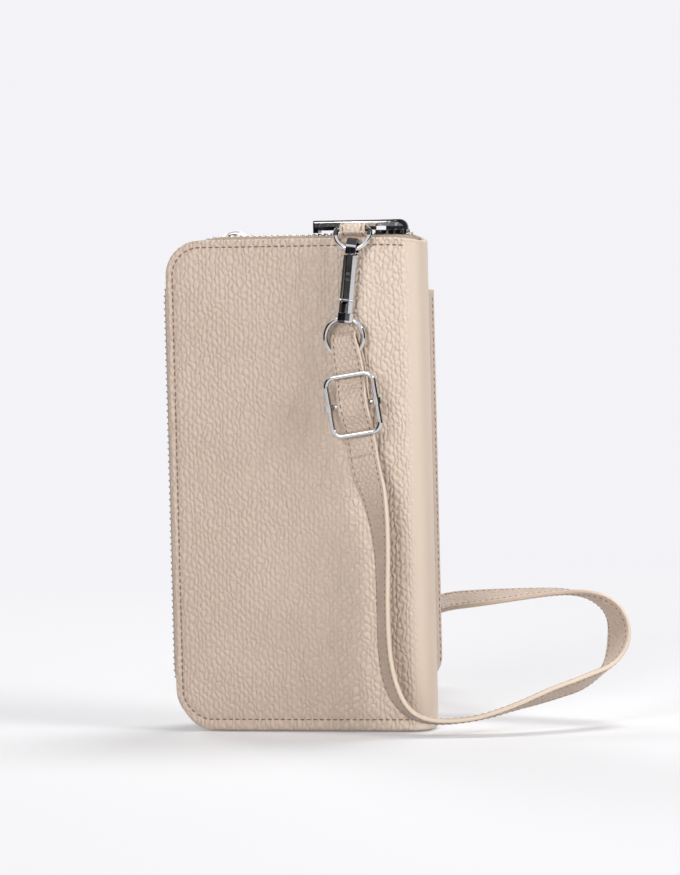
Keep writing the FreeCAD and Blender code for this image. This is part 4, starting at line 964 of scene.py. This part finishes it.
# Strap. One length of doubled leather, sewn along both edges, with painted edges: down the near face, out
# over the floor at the right, round behind the pouch, and the spare length rolled up and tied.
route = [
    (30.399, -18.320, 106.205, 0.989, 0.0, 0.148), (31.508, -18.320, 98.787, 0.989, 0.0, 0.148),
    (34.8, -19.2, 91.0, 0.90, -0.42, 0.10), (37.6, -19.6, 72.0, 0.62, -0.78, 0.0),
    (37.4, -20.0, 50.0, 0.52, -0.85, 0.0), (37.6, -21.0, 31.0, 0.55, -0.83, 0.10),
    (39.8, -21.5, 17.0, 0.55, -0.80, 0.25), (45.0, -22.0, 7.5, 0.40, -0.88, 0.30),
    (53.0, -22.0, 3.2, 0.12, -0.98, 0.25), (62.5, -21.0, 2.6, -0.05, -0.99, 0.15),
    (75.0, -18.5, 4.0, -0.15, -0.98, 0.05), (88.0, -13.0, 8.0, -0.20, -0.97, 0.05),
    (100.0, -5.0, 12.0, -0.20, -0.95, 0.25), (112.0, 5.0, 15.5, -0.10, -0.95, 0.30),
    (120.0, 15.0, 20.5, 0.42, -0.90, 0.10), (122.0, 25.0, 29.7, 0.80, -0.60, 0.0),
    (118.5, 33.0, 39.5, 0.64, -0.74, 0.20), (108.5, 40.0, 45.6, 0.26, -0.93, 0.25),
    (94.0, 46.0, 46.8, 0.05, -0.99, 0.0), (77.0, 50.0, 45.2, 0.0, -0.97, -0.20),
    (60.0, 54.0, 43.4, 0.0, -0.92, -0.38), (44.5, 59.0, 41.6, 0.0, -0.90, -0.45),
    (31.0, 69.0, 36.0, -0.20, -0.70, -0.65), (22.0, 84.0, 25.0, -0.20, -0.40, -0.90),
    (17.2, 102.0, 10.3, 0.0, -0.10, -0.99), (16.4, 119.0, 3.9, 0.0, 0.0, -1.0),
]
roll_y, roll_z = 134.0, 3.9
tail_x, tail_y, tail_z = -60.4, 160.0, 6.1
half_turns = [(-19.6, 36.0, 0, 1), (-24.4, 31.2, 180, 1), (-19.6, 26.4, 0, 1), (-34.0, 12.0, 180, 1),
              (-10.0, 12.0, 180, -1), (-24.4, 26.4, 0, -1), (-19.6, 31.2, 180, -1), (-24.4, 36.0, 0, -1)]
for centre, size, first, way in half_turns:
    for k in range(6):
        a = math.radians(first + way * (15 + 30 * k))
        reach = size / math.cos(math.radians(15))
        route.append((centre + reach * math.cos(a), roll_y + reach * math.sin(a), roll_z, 0.0, 0.0, -1.0))
route += [(tail_x, y, z, 0.0, 0.0, -1.0) for y, z in ((143.0, roll_z), (151.5, tail_z), (tail_y, tail_z))]
route = np.array(route)


def smooth_line(points):
    """Points along the smooth spline that a route's points pull on."""
    curve = bpy.data.curves.new("strap_route", "CURVE")
    curve.dimensions, curve.resolution_u = "3D", 8
    spline = curve.splines.new("NURBS")
    spline.points.add(len(points) - 1)
    spline.points.foreach_set("co", np.concatenate([points, np.ones((len(points), 1))], 1).ravel())
    spline.order_u, spline.use_endpoint_u = 3, True
    holder = bpy.data.objects.new("strap_route", curve)
    bpy.context.scene.collection.objects.link(holder)
    mesh = bpy.data.meshes.new_from_object(holder)
    out = np.zeros(len(mesh.vertices) * 3)
    mesh.vertices.foreach_get("co", out)
    bpy.data.objects.remove(holder)
    bpy.data.meshes.remove(mesh)
    bpy.data.curves.remove(curve)
    return out.reshape(-1, 3)


near_edge = route[:, 3:] / np.linalg.norm(route[:, 3:], axis=1, keepdims=True)
strap_line = smooth_line(route[:, :3])
strap_rim = smooth_line(route[:, :3] + near_edge * strap_width / 2)
strap_side, strap_up = line_sides(strap_line, strap_rim - strap_line)
strap = carried("strap", strap_line, strap_side, strap_up, strip_section(strap_width, strap_thick, 0.5, 0.12))
fitted(strap, strap_hide, "strap_leather", "back_half",
       ["strap_front_run", "strap_side_loop", "strap_back_run", "strap_coil", "strap_tail"])
strap_length = float(run_along(strap_line)[-1])


# Strap far end. The same doubled leather, turned through the second ring and laid back on itself, where
# it is sewn down.
radius, angle = s_turn(7.0, 2 * ply - strap_thick - 0.06)
far_moves = [(24.0,), (ply, 180.0), (5.0,), (radius, angle), (radius, -angle), (7.0,)]
far_line = folded_line((tail_x, tail_y), 90, far_moves)
far_place = np.stack([far_line[:, 0], far_line[:, 1], tail_z + 0 * far_line[:, 0]], -1)
far_side, far_up = line_sides(far_place, np.tile([[0.0, 0.0, -1.0]], (len(far_place), 1)))
far_end = carried("strap_far_ply", far_place, far_side, far_up, strip_section(strap_width, strap_thick, 0.5))
fitted(far_end, strap_hide, "strap_leather", "back_half", ["strap_far_end"])


# Strap stitching. The covers' brown thread, in a row along both edges and on both faces of the strap and
# of its turned ends. It holds the strap's two plies together.
strap_seam_at = 4.55


def edge_rows(place, side, up, last, faces=(-1, 1)):
    """Four rows on a strap: at either edge and on either face, from just after its start to a last length."""
    lift = strap_thick / 2 + 0.03
    return [row_on(place, side, up, edge * strap_seam_at, 1.3, last, stitch_pitch, face * lift)
            for edge in (-1, 1) for face in faces]


top_last = float(run_along(top_strip[0])[-1]) - lap - 1.0
far_last = float(run_along(far_place)[-1]) - 1.0
strap_rows = edge_rows(strap_line, strap_side, strap_up, strap_length - 1.0)
strap_seams = sewn("strap_stitches", strap_rows, "back_half", "strap_leather")
sewn("strap_top_stitches", edge_rows(*top_strip, top_last, (1, -1)), "back_half", "strap_leather")
far_rows = edge_rows(far_place, far_side, far_up, far_last)
far_seams = sewn("strap_far_stitches", far_rows, "back_half", "strap_leather")
tuple((route[0, :3] + (0, zip_plane, floor_rise)) / 1000)


# Keeper. A thin band of the strap's leather, closed into a ring round the rolled strands, which it holds
# together by its tightness.
keeper_wide, keeper_thick, keeper_x = 6.0, 0.5, -19.6
keeper_low, keeper_high, keeper_rise, keeper_turn = 159.3, 171.3, 10.95, (1.0, 90.0)
keeper_flat = keeper_high - keeper_low - 2.0
keeper_moves = [(keeper_flat,), keeper_turn, (keeper_rise,), keeper_turn] * 2
keeper_line = folded_line((keeper_low + 1.0, -2.5), 0, keeper_moves)
keeper_place = np.stack([keeper_x + 0 * keeper_line[:, 0], keeper_line[:, 0], keeper_line[:, 1]], -1)
keeper_side, keeper_up = line_sides(keeper_place, np.tile([[1.0, 0.0, 0.0]], (len(keeper_place), 1)))
keeper_section = strip_section(keeper_wide, keeper_thick, 0.2)
keeper = carried("coil_keeper", keeper_place, keeper_side, keeper_up, keeper_section)
# The keeper takes the strap's face colour, painted a little darker as shade.
keeper_hide = strip_leather("keeper_hide", keeper_wide, keeper_thick, strap_face_painted_shade, strap_edge, 0.016)
fitted(keeper, keeper_hide, "tie", "back_half", ["coil_tie"])


# Studio. A pale paper floor fades into an even pale backdrop; a soft lamp stands high at the right, a large
# fill in front, one above and one behind, and two dark flags at the sides show only in reflections. The
# camera stands at the photograph's angle with a long lens.
azimuth, elevation, roll, distance = math.radians(14.0), math.radians(4.2), math.radians(-1.425), 2.2
paper_white = (0.900, 0.893, 0.928, 1.0)


def studio_floor(name, half):
    """Flat square grid at the pouch's foot, half being half its side."""
    x = np.linspace(-half, half, 9)[:, None] + np.zeros((1, 9))
    points = np.stack([x, x.T, 0 * x - floor_rise], -1)
    return piece(name, points, quads(9, 9), flip=True)


def looked_at(start):
    """1 where the backdrop is seen, straight, in polish or through glass, and 0 where it only gives light."""
    seen = start.make("LightPath", None, "Is Camera Ray") + start.make("LightPath", None, "Is Glossy Ray")
    return seen + start.make("LightPath", None, "Is Transmission Ray")


paper, start = finish("studio_paper")
grey = start.make("BsdfDiffuse", None, 0, Color=(0.72, 0.72, 0.735, 1.0))
seen = looked_at(start)
glow = start.make("Emission", None, 0, Color=(0.985, 0.98, 1.0, 1.0), Strength=seen * 0.19)
near_paper = start.make("AddShader", None, 0, i0=grey, i1=glow)
far_paper = start.make("Emission", None, 0, Color=paper_white, Strength=1.0)
spot = start.make("TexCoord", None, "Object")
far_off = start.make("VectorMath", {"operation": "LENGTH"}, "Value", i0=spot)
paper_mix = start.make("MixShader", None, 0, i0=far_off.between(0.25, 0.85) * seen,
                       i1=near_paper, i2=far_paper)
start.make("OutputMaterial", None, 0, Surface=paper_mix)
stage = studio_floor("studio_floor", 1300.0)
stage.data.materials.append(paper)


def studio_flag(name, side, away, back_end, front_end, height):
    """Flat upright grid, away to one side of the pouch, running from behind it towards the lens."""
    run = np.linspace(back_end, front_end, 5)[:, None] + np.zeros((1, 5))
    x = side * away * math.cos(azimuth) + run * math.sin(azimuth)
    y = side * away * math.sin(azimuth) - run * math.cos(azimuth)
    z = np.linspace(20.0, height, 5)[None, :] + 0 * run
    return piece(name, np.stack([x, y, z], -1), quads(5, 5), flip=side > 0)


black_cloth, start = finish("flag_cloth")
black = start.make("BsdfDiffuse", None, 0, Color=(0.03, 0.03, 0.032, 1.0))
start.make("OutputMaterial", None, 0, Surface=black)
for name, side in (("left_flag", -1), ("right_flag", 1)):
    flag = studio_flag(name, side, 900.0, -450.0, 1900.0, 700.0)
    flag.data.materials.append(black_cloth)
    flag.visible_camera = flag.visible_diffuse = flag.visible_shadow = False


def lamp(name, place, aim, size, power, colour):
    """Round soft lamp at a place, turned so that it looks at its aim."""
    light = bpy.data.lights.new(name, "AREA")
    light.shape, light.size, light.energy, light.color = "DISK", size, power, colour
    holder = bpy.data.objects.new(name, light)
    bpy.context.scene.collection.objects.link(holder)
    holder.location = place
    holder.rotation_euler = (Vector(aim) - Vector(place)).to_track_quat("-Z", "Y").to_euler()


lamp("key_lamp", (1.45, -0.55, 0.75), (0.0, 0.0, 0.11), 0.7, 15.0, (1.0, 0.99, 0.975))
lamp("fill_lamp", (-0.4, -1.9, 0.8), (0.0, 0.0, 0.1), 1.0, 20.0, (1.0, 0.99, 0.98))
lamp("top_lamp", (0.25, 0.45, 1.35), (0.0, 0.0, 0.0), 0.6, 9.0, (1.0, 1.0, 1.0))
lamp("back_lamp", (-1.2, 1.2, 0.8), (0.0, 0.0, 0.1), 0.8, 13.0, (1.0, 1.0, 1.0))
sky = bpy.data.worlds.new("studio_sky")
sky.use_nodes = True
sky.node_tree.nodes.clear()
start = Value(sky.node_tree)
facing = start.make("TexCoord", None, "Generated")
up_way = facing.part("Z")
front_way = facing.part("Y") * -1
side_way = facing.part("X") * 0.970 + front_way * 0.242
level = 0.06 + up_way.between(0.5, 0.95) * 0.12 + side_way.between(0.90, 0.96)
level = level + front_way.between(0.90, 0.95) * 1.1
light = start.make("Background", None, 0, Color=(0.97, 0.98, 1.0, 1.0), Strength=level)
backdrop = start.make("Background", None, 0, Color=paper_white, Strength=1.0)
sky_mix = start.make("MixShader", None, 0, i0=looked_at(start), i1=light, i2=backdrop)
start.make("OutputWorld", None, 0, Surface=sky_mix)
bpy.context.scene.world = sky
bpy.context.scene.view_settings.view_transform = "Standard"

aim = Vector((0.0, zip_plane / 1000, 0.095 + floor_rise / 1000))
toward = Vector((math.sin(azimuth) * math.cos(elevation), -math.cos(azimuth) * math.cos(elevation),
                 math.sin(elevation)))
right = Vector((math.cos(azimuth), math.sin(azimuth), 0.0))
upright = toward.cross(right)
lens = bpy.data.cameras.new("photo_camera")
photo_wide, photo_high, film_size = 680, 875, 36
focal_pixels, centre_across, centre_down = 5619.9, 298.739, 480.452
lens.lens = focal_pixels * film_size / photo_high
lens.shift_x = (photo_wide / 2 - centre_across) / photo_high
lens.shift_y = (centre_down - photo_high / 2) / photo_high
lens.clip_end = 50.0
camera = bpy.data.objects.new("photo_camera", lens)
bpy.context.scene.collection.objects.link(camera)
rolled_right = right * math.cos(roll) + upright * math.sin(roll)
rolled_up = upright * math.cos(roll) - right * math.sin(roll)
turned = Matrix((rolled_right, rolled_up, toward)).transposed()
camera.matrix_world = Matrix.Translation(aim + toward * distance) @ turned.to_4x4()
bpy.context.scene.camera = camera
